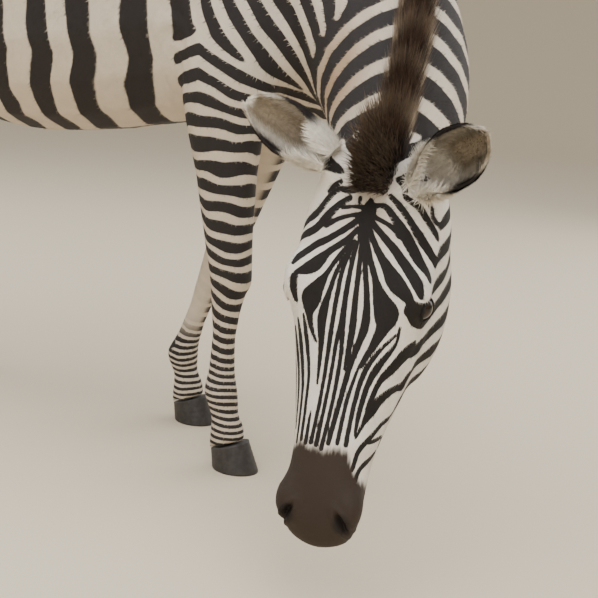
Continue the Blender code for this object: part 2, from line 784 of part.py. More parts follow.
def main():
    """Builds the zebra."""
    clear_scene()
    zebra = collection("zebra")
    helpers = collection("cutters", hidden=True)
    full = whole_body(helpers)
    fine = thinned(full, "fine_body", FACE_TRIANGLES, helpers)
    body = thinned(full, "coarse_body", BODY_TRIANGLES, zebra)
    head = part_head(fine, body, zebra, helpers)
    legs = part_legs(body, zebra, helpers)
    trunk, neck, dock = part_neck_and_tail(body, zebra, helpers)
    for place in ("front", "back"):
        for side in SIDES:
            dress(hoof(place, side, zebra), "horn")
            leg = bpy.data.objects[f"lower_leg_{place}_{side}"]
            part_hoof_from_leg(leg, place, side, helpers)
    for side in SIDES:
        ball = eye(side, zebra)
        dress(ball, "eye")
        boolean(head, grown_copy(ball, CUT, helpers), "DIFFERENCE")
    grown_head = grown_copy(head, CUT * 1.5, helpers)
    grown_neck = grown_copy(neck, CUT * 1.5, helpers)
    grown_trunk = grown_copy(trunk, CUT * 1.5, helpers)
    mane = crest_blade("mane", mane_places(), zebra)
    forelock = crest_blade("forelock", forelock_places(), zebra)
    boolean(mane, grown_copy(forelock, CUT * 1.5, helpers), "DIFFERENCE")
    for hair in (mane, forelock):
        for flesh_copy in (grown_head, grown_neck, grown_trunk):
            boolean(hair, flesh_copy, "DIFFERENCE")
        dress(hair, "hair")
    for side, pose in ear_poses().items():
        shell = ear(side, pose, zebra)
        for other in (grown_head, grown_neck, grown_copy(mane, CUT, helpers),
            grown_copy(forelock, CUT, helpers)):
            boolean(shell, other, "DIFFERENCE")
        dress(shell, "ear")
        keep_largest(shell)
    dress(tail_tuft(zebra), "hair")
    for piece in (trunk, neck, head, dock, *legs):
        dress(piece, "coat")
    for piece in (trunk, neck, head, dock, mane, forelock, *legs):
        keep_largest(piece)
    centre_on_floor(list(zebra.objects))
    for helper in helpers.objects:
        helper.hide_render = True
        helper.display_type = "WIRE"


main()
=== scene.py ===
"""A grazing plains zebra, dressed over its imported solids.

One skin replaces the solids of flesh and lies inside them by the depth of the coat. It carries the
stripes as smooth phase fields, so every tuft that grows from it takes the markings of its root.
Mane, forelock, tail, ears and hooves are pieces of their own. Sizes are in metres, with +Z up.
"""

import logging
import math
from dataclasses import dataclass, field
from enum import IntEnum
from typing import Any, Callable, Sequence, Union

import bmesh
import bpy
import numpy as np
from mathutils import Euler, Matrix, Vector, kdtree, noise


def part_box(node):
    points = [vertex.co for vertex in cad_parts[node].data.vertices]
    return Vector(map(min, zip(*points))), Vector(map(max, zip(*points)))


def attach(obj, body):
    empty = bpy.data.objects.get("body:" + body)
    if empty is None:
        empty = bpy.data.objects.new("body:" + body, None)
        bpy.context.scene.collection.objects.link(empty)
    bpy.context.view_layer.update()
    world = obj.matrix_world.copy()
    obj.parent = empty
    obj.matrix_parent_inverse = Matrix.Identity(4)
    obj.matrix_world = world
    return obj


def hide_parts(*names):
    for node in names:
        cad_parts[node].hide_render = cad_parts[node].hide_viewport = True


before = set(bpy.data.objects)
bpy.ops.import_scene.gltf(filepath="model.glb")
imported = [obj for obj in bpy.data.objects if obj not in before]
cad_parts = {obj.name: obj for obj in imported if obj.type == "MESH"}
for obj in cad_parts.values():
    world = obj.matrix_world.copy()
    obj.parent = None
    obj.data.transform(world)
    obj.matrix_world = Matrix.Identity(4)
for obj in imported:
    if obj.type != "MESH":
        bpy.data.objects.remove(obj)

Array = np.ndarray
Colour = tuple[float, float, float, float]
LOG = logging.getLogger("zebra")

BODY = "root"
LEGS = tuple(f"{place}_{side}" for place in ("front", "back") for side in ("right", "left"))
FLESH = (
    "head",
    "neck",
    "trunk",
    "tail_dock",
    *(f"upper_leg_{leg}" for leg in LEGS),
    *(f"lower_leg_{leg}" for leg in LEGS),
)


# ---- small maths


def smooth(value: Array, low: float, high: float) -> Array:
    """Rises softly from 0 to 1.

    Args:
        value: Numbers to place on the ramp.
        low: Where the ramp is 0.
        high: Where it is 1. It may be below low, which turns the ramp round.

    Returns:
        The height of the ramp at each number.
    """
    share = np.clip((value - low) / (high - low), 0.0, 1.0)
    return share * share * (3.0 - 2.0 * share)


def bump_at(distance: Array, reach: float) -> Array:
    """A bell of height 1 at distance 0."""
    return np.exp(-((distance / reach) ** 2))


def unit(vectors: Array) -> Array:
    """The same directions at length 1."""
    return vectors / np.maximum(np.linalg.norm(vectors, axis=-1, keepdims=True), 1e-9)


def drift(points: Array, scale: float, seed: float) -> Array:
    """Soft noise, the same at each run.

    Args:
        points: Places, one per row.
        scale: How many features fit in a metre.
        seed: Moves the pattern, so that two calls differ.

    Returns:
        A number from about -1 to 1 for each place.
    """
    moved = points * scale + seed
    return np.array([noise.noise(Vector(row)) for row in moved])


def srgb(red: int, green: int, blue: int) -> Colour:
    """A linear colour from the 0 to 255 values of a screen."""
    parts = []
    for value in (red, green, blue):
        share = value / 255.0
        parts.append(share / 12.92 if share <= 0.04045 else ((share + 0.055) / 1.055) ** 2.4)
    return (parts[0], parts[1], parts[2], 1.0)


# ---- anatomy


class Region(IntEnum):
    """The parts of the skin that are unwrapped on their own."""

    HEAD = 0
    NECK = 1
    TRUNK = 2
    DOCK = 3
    FRONT_RIGHT = 4
    FRONT_LEFT = 5
    BACK_RIGHT = 6
    BACK_LEFT = 7

    @staticmethod
    def of(node: str) -> "Region":
        """The region that a solid of flesh belongs to."""
        if "leg" in node:
            return Region[node.split("leg_")[1].upper()]
        return {"head": Region.HEAD, "neck": Region.NECK, "tail_dock": Region.DOCK}.get(node, Region.TRUNK)


LEG_REGIONS = {Region[leg.upper()] for leg in LEGS}


def centre_of(node: str) -> Array:
    """The middle of a solid's box."""
    low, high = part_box(node)
    return (np.array(low) + np.array(high)) / 2


@dataclass
class Head:
    """The head's own axes: left, along to the muzzle, and below the face. Its origin is the poll."""

    along: Array = field(default_factory=lambda: unit(np.array([-0.281, -0.010, -0.960])))
    eye_side: float = 0.0955
    eye_along: float = 0.204
    eye_below: float = 0.052
    eye_radius: float = 0.0205
    nostril_side: float = 0.043
    nostril_along: float = 0.535
    nostril_below: float = 0.040

    def __post_init__(self) -> None:
        """Finds the axes from where the two eyes lie."""
        right, left = centre_of("eye_right"), centre_of("eye_left")
        self.left = unit(left - right)
        self.below = np.cross(self.left, self.along)
        middle = (left + right) / 2
        self.poll = middle - self.along * self.eye_along - self.below * self.eye_below

    def local(self, points: Array) -> Array:
        """Places as (left, along, below) columns."""
        return (points - self.poll) @ np.stack([self.left, self.along, self.below], axis=1)

    def world(self, left: float, along: float, below: float) -> Array:
        """The place at a head position."""
        return self.poll + self.left * left + self.along * along + self.below * below

    def eye_place(self, way: float) -> Array:
        """The middle of one eye: -1 gives the right one, 1 the left."""
        return self.world(way * self.eye_side, self.eye_along, self.eye_below)

    def eye_facing(self, way: float) -> Array:
        """The way that one eye looks: -1 gives the right one, 1 the left."""
        return unit(self.left * way * 0.90 - self.below * 0.40 + self.along * 0.10)

    def round_face(self, local: Array) -> tuple[Array, Array]:
        """The way round the head from the middle of the face.

        Args:
            local: (left, along, below) rows.

        Returns:
            The angle, and the distance over the surface.
        """
        core = np.interp(local[:, 1], [0.0, 0.25, 0.45, 0.58], [0.125, 0.128, 0.085, 0.080])
        angle = np.arctan2(local[:, 0], core - local[:, 2])
        return angle, angle * np.interp(local[:, 1], [0.0, 0.25, 0.45, 0.58], [0.125, 0.125, 0.070, 0.055])


@dataclass
class Neck:
    """The neck's middle line, from the trunk to the poll."""

    head: Head
    origin: Array
    first: float = -0.3
    steps: int = 131
    length: float = 0.75
    rows_at_once: int = 20000

    def __post_init__(self) -> None:
        """Samples the line once."""
        self.shares = np.linspace(self.first, 1.0, self.steps)
        frames = [self.at(float(share)) for share in self.shares]
        self.centres, self.ways, self.sides, self.crests = (np.array(part) for part in zip(*frames))

    def at(self, share: float) -> tuple[Array, Array, Array, Array]:
        """The line's frame.

        Args:
            share: 0 in the trunk, 1 at the poll.

        Returns:
            Centre, way along, way to the right side, and way to the crest.
        """
        ends = (np.array([0, -0.06, 1.035]) + self.origin, self.head.world(0, 0.035, 0.105))
        handles = (np.array([-0.01, -0.30, 0.875]) + self.origin,
                   np.array([-0.250, -0.395, 0.765]) + self.origin)
        rest = 1 - share
        centre = ends[0] * rest**3 + handles[0] * 3 * rest * rest * share
        centre = centre + handles[1] * 3 * rest * share * share + ends[1] * share**3
        way = (handles[0] - ends[0]) * rest * rest + (handles[1] - handles[0]) * 2 * rest * share
        way = unit(way + (ends[1] - handles[1]) * share * share)
        crest = np.array([0, -0.30, 0.95]) * rest + np.array([-0.70, -0.26, 0.66]) * share
        crest = unit(crest - way * (crest @ way))
        return centre, way, np.cross(way, crest), crest

    def coordinates(self, points: Array) -> tuple[Array, Array]:
        """Where places lie on the neck.

        Args:
            points: Places, one per row.

        Returns:
            The share along the neck, and the angle from the crest: positive on the right.
        """
        nearest = np.empty(len(points), int)
        for start in range(0, len(points), self.rows_at_once):
            stop = start + self.rows_at_once
            block = points[start:stop]
            gaps = ((block[:, None, :] - self.centres[None]) ** 2).sum(-1)
            nearest[start:stop] = gaps.argmin(1)
        offset = points - self.centres[nearest]
        along = (offset * self.ways[nearest]).sum(1)
        side = (offset * self.sides[nearest]).sum(1)
        crest = (offset * self.crests[nearest]).sum(1)
        return self.shares[nearest] + along / self.length, np.arctan2(side, crest)


@dataclass
class LegLine:
    """The middle line of one leg, by height."""

    name: str

    def __post_init__(self) -> None:
        """Reads the leg's width and depth from its two solids."""
        corners = np.vstack([points_of(f"{part}_leg_{self.name}") for part in ("upper", "lower")])
        self.heights = np.arange(0.04, 0.84, 0.04)
        rows = []
        for height in self.heights:
            near = corners[np.abs(corners[:, 2] - height) < 0.035]
            rows.append((near.min(0) + near.max(0)) / 2 if len(near) > 5 else rows[-1])
        self.middles = np.array(rows)

    def offset(self, points: Array) -> tuple[Array, Array]:
        """How far places lie outward and behind the line, as two columns."""
        x = np.interp(points[:, 2], self.heights, self.middles[:, 0])
        y = np.interp(points[:, 2], self.heights, self.middles[:, 1])
        outward = 1.0 if self.name.endswith("left") else -1.0
        return (points[:, 0] - x) * outward, points[:, 1] - y


def points_of(node: str) -> Array:
    """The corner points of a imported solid."""
    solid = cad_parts[node]
    found = np.empty(len(solid.data.vertices) * 3)
    solid.data.vertices.foreach_get("co", found)
    turn = np.array(solid.matrix_world)
    return found.reshape(-1, 3) @ turn[:3, :3].T + turn[:3, 3]


class Anatomy:
    """Everything that places a detail on the animal."""

    def __init__(self) -> None:
        """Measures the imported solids."""
        self.head = Head()
        self.origin = self.head.poll - np.array([-0.460, -0.424, 0.684])
        self.neck = Neck(self.head, self.origin)
        self.legs = {name: LegLine(name) for name in LEGS}
        self.tree = kdtree.KDTree(sum(len(points_of(node)) for node in FLESH))
        self.labels: list[Region] = []
        for node in FLESH:
            for point in points_of(node):
                self.tree.insert(Vector(point), len(self.labels))
                self.labels.append(Region.of(node))
        self.tree.balance()

    def regions(self, points: Array) -> Array:
        """The number of the region that each place is nearest to.

        Args:
            points: Places.

        Returns:
            The numbers. Rump beside or ahead of the dock counts as trunk.
        """
        found = np.array([self.labels[self.tree.find(Vector(point))[1]].value for point in points])
        low, high = (np.array(corner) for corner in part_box("tail_dock"))
        off_side = np.abs(points[:, 0] - (low[0] + high[0]) / 2) - (high[0] - low[0]) / 2
        beside = (off_side > 0.003) | (points[:, 1] < low[1] - 0.002)
        return np.where((found == Region.DOCK.value) & beside, Region.TRUNK.value, found)

    def neck_joint(self) -> tuple[Array, Array]:
        """The border between neck and head.

        Returns:
            A place on it, and the way from it back into the neck.
        """
        joint, way, _, _ = self.neck.at(0.90)
        return joint, unit(-self.head.along * 0.75 - way * 0.66)

    def body(self, points: Array) -> Array:
        """Places measured from the floor under the withers."""
        return points - self.origin * np.array([1.0, 1.0, 0.0])


# ---- markings


# The dark bands of the face. Each is a smooth curve through places on the head, in centimetres:
# how far round from the middle of the face (left is positive), how far below the poll, half width.
Band = tuple[tuple[float, float, float], ...]
WHORL: tuple[Band, ...] = (
    ((0.8, 6.6, 0.3), (0.8, 8.3, 1), (0.7, 10.1, 0.9), (0.45, 12.2, 0.5)),
    ((-0.9, 6.4, 0.25), (-0.9, 7.1, 0.2)),
)
RIGHT_BROW: tuple[Band, ...] = (
    ((-4.5, 4.3, 0.25), (-5.4, 4.8, 0.3), (-6.6, 5.8, 0.2)),
    ((-0.6, 4.9, 0.4), (-2.8, 5.4, 0.45), (-4.8, 5.5, 0.35), (-6.4, 6.9, 0.5), (-8.2, 9.1, 0.6),
     (-12, 10.9, 0.45)),
    ((-2.6, 6.6, 0.4), (-4.2, 7.8, 0.5), (-5.8, 9.6, 0.65), (-8, 11.6, 0.6), (-12.5, 13, 0.6)),
    ((0, 7.7, 0.3), (-1.8, 7.8, 0.2), (-3.4, 8.1, 0.25)),
    ((-0.2, 8.7, 0.3), (-2, 9.2, 0.25), (-3.8, 9.9, 0.3), (-5.6, 10.9, 0.4)),
    ((-0.4, 9.5, 0.4), (-2.3, 11.2, 0.42), (-4.6, 12.8, 0.45), (-7.2, 14.1, 0.55), (-8.6, 15.6, 0.5),
     (-9, 17.1, 0.2)),
    ((-0.3, 11, 0.35), (-2, 13, 0.4), (-4.2, 14.8, 0.5), (-6.1, 16.9, 1), (-8.2, 18.4, 0.3)),
    ((-8.4, 18.9, 0.3), (-8.5, 20.5, 0.35), (-8.6, 22.4, 0.3)),
)
LEFT_BROW: tuple[Band, ...] = (
    ((1.3, 10.8, 0.35), (3.1, 13.6, 0.42), (4.9, 15.9, 0.7), (6.4, 17.9, 1.05), (8.3, 20, 0.45)),
    ((1.6, 9.8, 0.35), (3.6, 11.5, 0.42), (5.7, 13.3, 0.55), (7.7, 15.5, 0.65), (8.9, 17.7, 0.55),
     (9.5, 19.3, 0.25)),
    ((1.4, 8.8, 0.3), (3, 9.3, 0.25), (4.6, 10, 0.3), (6, 10.9, 0.5)),
    ((1.6, 7.2, 0.3), (3.2, 7.2, 0.35), (4.8, 8.7, 0.5), (6.6, 10.7, 0.75), (8.6, 13.1, 0.75),
     (10.9, 16.4, 0.5)),
    ((3.6, 5.5, 0.3), (5.2, 6.7, 0.4), (7.4, 8.9, 0.48), (9.8, 11.3, 0.65), (14, 14.7, 0.6)),
    ((4.2, 2.5, 0.3), (5.3, 3.8, 0.35), (6, 5.4, 0.3), (8.2, 6.3, 0.5), (10.4, 8.3, 0.5),
     (14.4, 11.2, 0.45)),
    ((9.2, 5, 0.3), (10.5, 6, 0.35), (11, 7.3, 0.35), (13, 8.2, 0.3)),
    ((8.3, 20.1, 0.2), (9.8, 20.3, 0.22), (11.6, 19.7, 0.2)),
    ((9.2, 21.2, 1.05), (10.8, 21.9, 1.45), (12.8, 22.4, 0.95)),
)
NOSE: tuple[Band, ...] = (
    ((-0.7, 12.8, 0.3), (-2.4, 15.3, 0.3), (-3.8, 18, 0.35), (-5, 20.2, 1), (-5.9, 22, 1.45),
     (-6, 24, 0.7), (-5.3, 26.2, 0.35), (-4.2, 28, 0.12)),
    ((-0.9, 14, 0.22), (-2.2, 17, 0.25), (-2.9, 20.3, 0.32), (-3.6, 24.5, 0.68), (-3.2, 28.5, 0.38),
     (-2.95, 34, 0.12)),
    ((-0.6, 13.4, 0.2), (-1.45, 17, 0.25), (-1.7, 21, 0.28), (-1.85, 27, 0.3), (-1.9, 34, 0.24),
     (-2.25, 42.6, 0.28)),
    ((-0.1, 13, 0.25), (-0.35, 17.5, 0.3), (-0.35, 22, 0.35), (-0.3, 25.4, 0.5)),
    ((-0.5, 25, 0.3), (-0.75, 28, 0.25), (-0.85, 33, 0.22), (-1.05, 37.5, 0.24), (-1.3, 42.8, 0.28)),
    ((-0.1, 25, 0.3), (0.2, 28, 0.25), (0.3, 32, 0.26), (0.1, 37, 0.25), (-0.35, 43.2, 0.28)),
    ((0.6, 12.8, 0.25), (0.9, 16.5, 0.3), (1.15, 21, 0.35), (1.4, 25, 0.45), (1.35, 28.5, 0.35),
     (1.2, 31.3, 0.15)),
    ((1, 12.5, 0.22), (1.9, 16.8, 0.3), (2.8, 20.8, 0.36), (3.2, 24.5, 0.55), (2.6, 27.8, 0.42),
     (1.8, 31.8, 0.36), (0.6, 42.2, 0.3)),
    ((1, 11.8, 0.3), (2.4, 15.3, 0.35), (3.6, 18, 0.42), (4.6, 20.2, 0.9), (5.9, 22.5, 1.55),
     (5.9, 24.3, 0.95), (4.9, 27.3, 0.5), (3.6, 30.4, 0.3)),
    ((3.3, 30.6, 0.12), (2.9, 32.6, 0.2), (2.4, 35.5, 0.24), (2.15, 39, 0.25), (2, 42, 0.25)),
    ((8.1, 25.1, 0.12), (5.9, 28, 0.25), (4.3, 31.4, 0.33), (3.6, 36, 0.28), (3.35, 42, 0.28)),
    ((-3.3, 38.2, 0.1), (-3.3, 40.4, 0.25), (-3.2, 42.8, 0.3)),
)
CHEEKS: tuple[Band, ...] = (
    ((8.4, 24, 0.15), (8.4, 26.5, 0.22), (6.4, 29.9, 0.5), (5.2, 33, 0.4), (4.6, 37.5, 0.3),
     (4.5, 40.5, 0.12)),
    ((13.5, 25.8, 1), (11, 27.6, 1), (9, 29.9, 0.75), (7.1, 32.2, 0.45), (5.8, 36.4, 0.3)),
    ((13.6, 32, 0.5), (10.4, 33.1, 0.55), (8.3, 34.5, 0.65), (6.7, 36.4, 0.8), (5.6, 38.6, 0.3),
     (4.7, 40.8, 0.1)),
    ((13.5, 37, 0.4), (10.4, 38.2, 0.4), (7.8, 40.3, 0.42), (5.7, 42.5, 0.35), (4.9, 45.4, 0.25)),
    ((13.5, 40.1, 0.3), (10, 40.7, 0.3), (7.6, 41.2, 0.2)),
    ((12, 42.6, 0.3), (8.6, 43.9, 0.38), (6.5, 45.1, 0.35), (5.7, 46.8, 0.3)),
    ((-7.3, 24.4, 0.15), (-6.6, 26.5, 0.4), (-5.7, 29.5, 0.35), (-4.9, 33, 0.25), (-4.3, 42.5, 0.28)),
    ((-8.9, 25.2, 0.25), (-7.9, 28, 0.5), (-6.8, 31.5, 0.4), (-6, 35.5, 0.28), (-5.4, 43, 0.25)),
    ((-10.4, 26.6, 0.45), (-9.1, 29.6, 0.6), (-7.9, 33.2, 0.42), (-7.2, 37, 0.3), (-6.8, 41, 0.25)),
    ((-12, 29, 0.5), (-10.4, 32.4, 0.55), (-9.2, 36, 0.4), (-8.4, 40, 0.3), (-8, 43.5, 0.25)),
    ((-13.4, 33, 0.5), (-11.6, 36.6, 0.5), (-10.2, 40.6, 0.38), (-9.4, 44, 0.25)),
)


def smooth_curve(knots: Array, step: float) -> Array:
    """A smooth curve through a few knots.

    Args:
        knots: Rows to pass through, in order.
        step: About how far apart the samples are, over the first two columns.

    Returns:
        The samples, one per row.
    """
    padded = np.vstack([2 * knots[0] - knots[1], knots, 2 * knots[-1] - knots[-2]])
    rows = []
    for place in range(len(knots) - 1):
        before, start, end, after = padded[place : place + 4]
        count = max(3, int(np.hypot(*(end - start)[:2]) / step))
        for share in np.linspace(0.0, 1.0, count, endpoint=False):
            bend = 2 * before - 5 * start + 4 * end - after
            turn = 3 * start - before - 3 * end + after
            rows.append(0.5 * (2 * start + (end - before) * share + bend * share**2 + turn * share**3))
    return np.array([*rows, knots[-1]])


@dataclass
class Marks:
    """What the skin and every tuft on it know about their colour, one row per place."""

    phases: Array
    weights: Array
    face: Array
    band: Array
    tone: Array
    skin: Array


@dataclass
class Markings:
    """The stripes of a plains zebra as phase fields. A whole number is the middle of a dark stripe."""

    anatomy: Anatomy
    flank_bands: tuple[float, ...] = (0.055, 0.153, 0.268, 0.345, 0.440, 0.535)
    shoulder_pitch: float = 0.048
    shoulder_slant: float = 0.65
    throat_pivot: float = 0.7214
    haunch_pivot: tuple[float, float] = (0.62, 0.66)
    haunch_bands: float = 6.0
    haunch_pitch: float = 0.095
    elbow: float = 0.735
    middle: float = 0.35
    neck_pitch: float = 0.096
    neck_first: float = 0.52
    whorl: tuple[float, float] = (0.007, 0.090)
    muzzle_places: tuple[float, ...] = (-0.12, -0.075, -0.045, -0.02, 0.0, 0.02, 0.036, 0.048, 0.062, 0.09)
    muzzle_edges: tuple[float, ...] = (0.470, 0.448, 0.424, 0.431, 0.434, 0.427, 0.428, 0.450, 0.468, 0.475)
    leg_pitch_heights: tuple[float, ...] = (0.05, 0.17, 0.25, 0.33, 0.45, 0.60, 0.80)
    fore_pitches: tuple[float, ...] = (0.0130, 0.0135, 0.020, 0.028, 0.034, 0.040, 0.045)
    hind_pitches: tuple[float, ...] = (0.0140, 0.0160, 0.022, 0.030, 0.038, 0.050, 0.060)

    def vertical(self, body: Array) -> Array:
        """The upright stripes of shoulder, flank and haunch.

        Args:
            body: Places measured from under the withers.

        Returns:
            Their phase.
        """
        y, z = body[:, 1], body[:, 2]
        slant = self.shoulder_slant * smooth(y, 0.12, -0.06)
        lean = y - slant * (z - 0.9) - 0.42 * np.maximum(0.0, 0.80 - z) * smooth(y, 0.0, 0.15)
        spread = np.maximum(1.0 + 5.6 * (z - 0.9), 0.36)
        fanned = (y - 1.742 * (z - 0.9)) / spread
        lean = np.where((lean < -0.195) & (z > self.throat_pivot), np.minimum(fanned, -0.195), lean)
        bands = np.array(self.flank_bands)
        last = len(bands) - 1
        phase = np.interp(lean, bands, np.arange(last + 1.0))
        phase = np.where(lean < bands[0], (lean - bands[0]) / self.shoulder_pitch, phase)
        phase = np.where(lean > bands[last], last + (lean - bands[last]) / self.haunch_pitch, phase)
        pivot_y, pivot_z = self.haunch_pivot
        edge = last + (pivot_y - bands[last]) / self.haunch_pitch
        turned = 1 - np.arctan2(z - pivot_z, y - pivot_y) / (math.pi / 2)
        fan = edge + self.haunch_bands * np.clip(turned, 0.0, 1.0)
        below = (edge + self.haunch_bands + self.rings(z, self.hind_pitches)
                 - self.rings(pivot_z, self.hind_pitches))
        return np.where(y > pivot_y, np.where(z > pivot_z, fan, below), phase)

    def rings(self, height: Array, pitches: Sequence[float]) -> Array:
        """Level rings whose pitch changes with height.

        Args:
            height: Heights above the floor.
            pitches: The pitch at each of the leg's heights.

        Returns:
            Their phase, which rises downward from 0 at the elbow.
        """
        steps = np.linspace(0.0, 1.0, 400)
        density = 1 / np.interp(steps, self.leg_pitch_heights, pitches)
        total = np.concatenate([[0.0], np.cumsum((density[1:] + density[:-1]) / 2 * np.diff(steps))])
        return np.interp(self.elbow, steps, total) - np.interp(height, steps, total)

    def arches(self, y: Array) -> Array:
        """How far the rings rise ahead of the forearm and behind it."""
        return 0.57 * np.maximum(0.0, 0.02 - y) + 0.30 * np.maximum(0.0, y - 0.02)

    def leg(self, points: Array, body: Array, region: Array) -> Array:
        """The rings of each leg, with the arches over the forearm.

        Args:
            points: Places.
            body: The same, measured from under the withers.
            region: Their region numbers.

        Returns:
            The phase of the rings.
        """
        y, z = body[:, 1], body[:, 2]
        arch = self.arches(y)
        front = z + arch * smooth(z, 0.66, 0.78)
        phase = np.zeros(len(points))
        for number, name in enumerate(LEGS):
            outward, behind = self.anatomy.legs[name].offset(points)
            depth = np.interp(z, [0.1, 0.35, 0.6, 0.8], [0.035, 0.045, 0.065, 0.10])
            rear = np.clip(behind / depth, -1.5, 1.5)
            sag = 0.018 * (rear + 0.55) ** 2 * smooth(z, 0.62, 0.48) * smooth(z, 0.12, 0.35)
            sag = sag + 0.10 * outward * smooth(z, 0.30, 0.15)
            if name.startswith("front"):
                rings = self.rings(front - sag, self.fore_pitches)
            else:
                rings = self.hind_rings(body, z - sag)
            phase = np.where(region == Region.FRONT_RIGHT + number, rings, phase)
        behind_middle = y > self.middle
        trunk = np.where(behind_middle, self.hind_rings(body, z), self.rings(front, self.fore_pitches))
        return np.where(region < Region.FRONT_RIGHT, trunk, phase)

    def hind_rings(self, body: Array, height: Array) -> Array:
        """The rings of the hind legs, which run on from the fan of the haunch.

        Args:
            body: Places measured from under the withers.
            height: Their heights, after any sag.

        Returns:
            The phase.
        """
        pivot_y, pivot_z = self.haunch_pivot
        bands = self.flank_bands
        start = len(bands) - 1 + (pivot_y - bands[-1]) / self.haunch_pitch + self.haunch_bands
        level = start + self.rings(height, self.hind_pitches) - self.rings(pivot_z, self.hind_pitches)
        behind = (body[:, 1] > pivot_y) & (body[:, 2] > pivot_z)
        return np.where(behind, self.vertical(body), level)

    def face(self, local: Array, reach: float = 0.004, extra: float = 0.0008) -> Array:
        """The dark bands of the face.

        Args:
            local: (left, along, below) rows.
            reach: How far from its edge a band's field stops growing.
            extra: Added to every half width, for the white hair that lies over the bands.

        Returns:
            1 inside a band, -1 outside, and 0 on its edge. Column 1 says where the bands hold.
        """
        _, across = self.anatomy.head.round_face(local)
        place = np.stack([across, local[:, 1]], axis=1) * 100
        depth = np.full(len(place), -1.0)
        for band in (*WHORL, *RIGHT_BROW, *LEFT_BROW, *NOSE, *CHEEKS):
            curve = smooth_curve(np.array(band), 0.12)
            low, high = curve[:, :2].min(0) - 2.0, curve[:, :2].max(0) + 2.0
            near = np.flatnonzero(((place > low) & (place < high)).all(1))
            gaps = np.linalg.norm(place[near, None, :] - curve[None, :, :2], axis=2)
            depth[near] = np.maximum(depth[near], (curve[None, :, 2] * 1.08 + extra * 100 - gaps).max(1))
        field = np.clip(depth / (reach * 100), -1.0, 1.0)
        holds = smooth(np.abs(across), 0.140, 0.118) * smooth(local[:, 1], 0.020, 0.045)
        return np.stack([field, holds], axis=1)

    def cheek(self, local: Array) -> Array:
        """The phase of the bands on the jaws, beyond those of the face."""
        _, across = self.anatomy.head.round_face(local)
        return (0.304 - (local[:, 1] + 0.62 * np.abs(across))) / 0.048

    def at(self, points: Array, normals: Array, region: Array, limb: Array) -> Marks:
        """Everything that colours these places.

        Args:
            points: Places on the skin.
            normals: The way out of the skin at each.
            region: Their region numbers.
            limb: How far each belongs to a leg, from 0 to 1, with soft borders.

        Returns:
            The marks.
        """
        anatomy = self.anatomy
        body, local = anatomy.body(points), anatomy.head.local(points)
        share, angle = anatomy.neck.coordinates(points)
        x, y, z = body.T
        broad = smooth(y, 0.0, 0.15) * (region == Region.TRUNK)
        wander = (0.16 - 0.08 * broad) * drift(points, 7.0, 3.0)
        wander = (wander + (0.05 + 0.24 * limb) * drift(points, 21.0, 9.0)
                  + 0.20 * limb * drift(points, 9.0, 5.0))

        joint, facing = anatomy.neck_joint()
        on_head = np.where(region <= Region.NECK, smooth((points - joint) @ facing, 0.022, -0.018), 0.0)
        near_neck = (region <= Region.TRUNK) * smooth(share, 0.10, 0.30)
        left_side = smooth(angle, 0.20, -0.10) * smooth(angle, -3.05, -2.5)
        on_neck = near_neck * np.maximum(left_side, smooth(share, 0.42, 0.58)) * (1 - on_head)
        arch = self.arches(y)
        over_leg = smooth(z + arch, 0.875, 0.835) * smooth(y, 0.105, 0.075) * smooth(y, -0.24, -0.17)
        over_leg = over_leg * smooth(np.abs(x), 0.04, 0.08) * (region == Region.TRUNK)
        leg = np.where(y < self.middle, np.where(region >= Region.FRONT_RIGHT, 1.0, over_leg),
                       smooth(limb, 0.15, 0.75))
        upright = np.clip(1 - leg - on_neck - on_head, 0.0, 1.0)
        phases = np.stack([self.vertical(body), self.leg(points, body, region), share / self.neck_pitch],
                          axis=1)
        phases[:, 2] -= self.neck_first / self.neck_pitch
        phases += wander[:, None] * np.array([1.0, 1.0, 0.7])
        dock = region == Region.DOCK
        phases[dock, 0] = z[dock] / 0.034 + wander[dock]

        band = self.face(local)
        band[:, 0] += 0.14 * drift(points, 130.0, 5.0)
        band[:, 1] *= on_head
        cheek = self.cheek(local) + 0.10 * drift(points, 26.0, 5.0)
        dark = 0.50 + 0.10 * on_neck + 0.10 * limb + 0.08 * smooth(y, 0.02, -0.12) * (region == Region.TRUNK)
        dark = dark - 0.08 * smooth(z, 0.25, 0.05) + 0.03 * drift(points, 9.0, 7.0)

        inner = np.zeros(len(points))
        for number, name in enumerate(LEGS):
            outward = 1.0 if name.endswith("left") else -1.0
            facing_in = smooth(normals[:, 0] * outward, -0.15, -0.75)
            inner = np.where(region == Region.FRONT_RIGHT + number, facing_in * smooth(z, 0.19, 0.25), inner)
        plain = inner * 0.95
        spine = (region == Region.TRUNK) * bump_at(x, 0.011) * smooth(normals[:, 2], 0.5,
                                                                      0.9) * smooth(y, 0.0, 0.2)
        keel = (region == Region.TRUNK) * bump_at(x, 0.013) * smooth(normals[:, 2], -0.5,
                                                                     -0.9) * smooth(y, 0.0, 0.12)
        ergot = ((region == Region.FRONT_LEFT) * bump_at(z - 0.175, 0.016)
                 * smooth(self.anatomy.legs["front_left"].offset(points)[1], 0.004, 0.016))
        lines = np.clip((spine + keel) * 1.6 + ergot, 0.0, 1.0)

        # Painted shade: a brown patch on the right side of the throat and chest, under the base of the neck,
        # laid on through the tan.
        throat_shade = bump_at(np.hypot(y + 0.285, (z - 0.79) * 0.8), 0.075) * smooth(x, 0.02, -0.05)
        low = smooth(z, 0.84, 0.66) * (region == Region.TRUNK) * 0.22 + 0.16 * limb
        tan_and_shade = np.clip(throat_shade * 1.15 * (region <= Region.TRUNK) + low + 0.10 * drift(points, 5.0, 2.0) + 0.05,
                      0.0, 1.0)
        centre = np.hypot(local[:, 0] - self.whorl[0], local[:, 1] - self.whorl[1])
        face_tan = 0.06 + 0.25 * bump_at(local[:, 1] - 0.435, 0.018) + 0.50 * bump_at(centre, 0.050)
        tan_and_shade = tan_and_shade * (1 - on_head) + on_head * face_tan

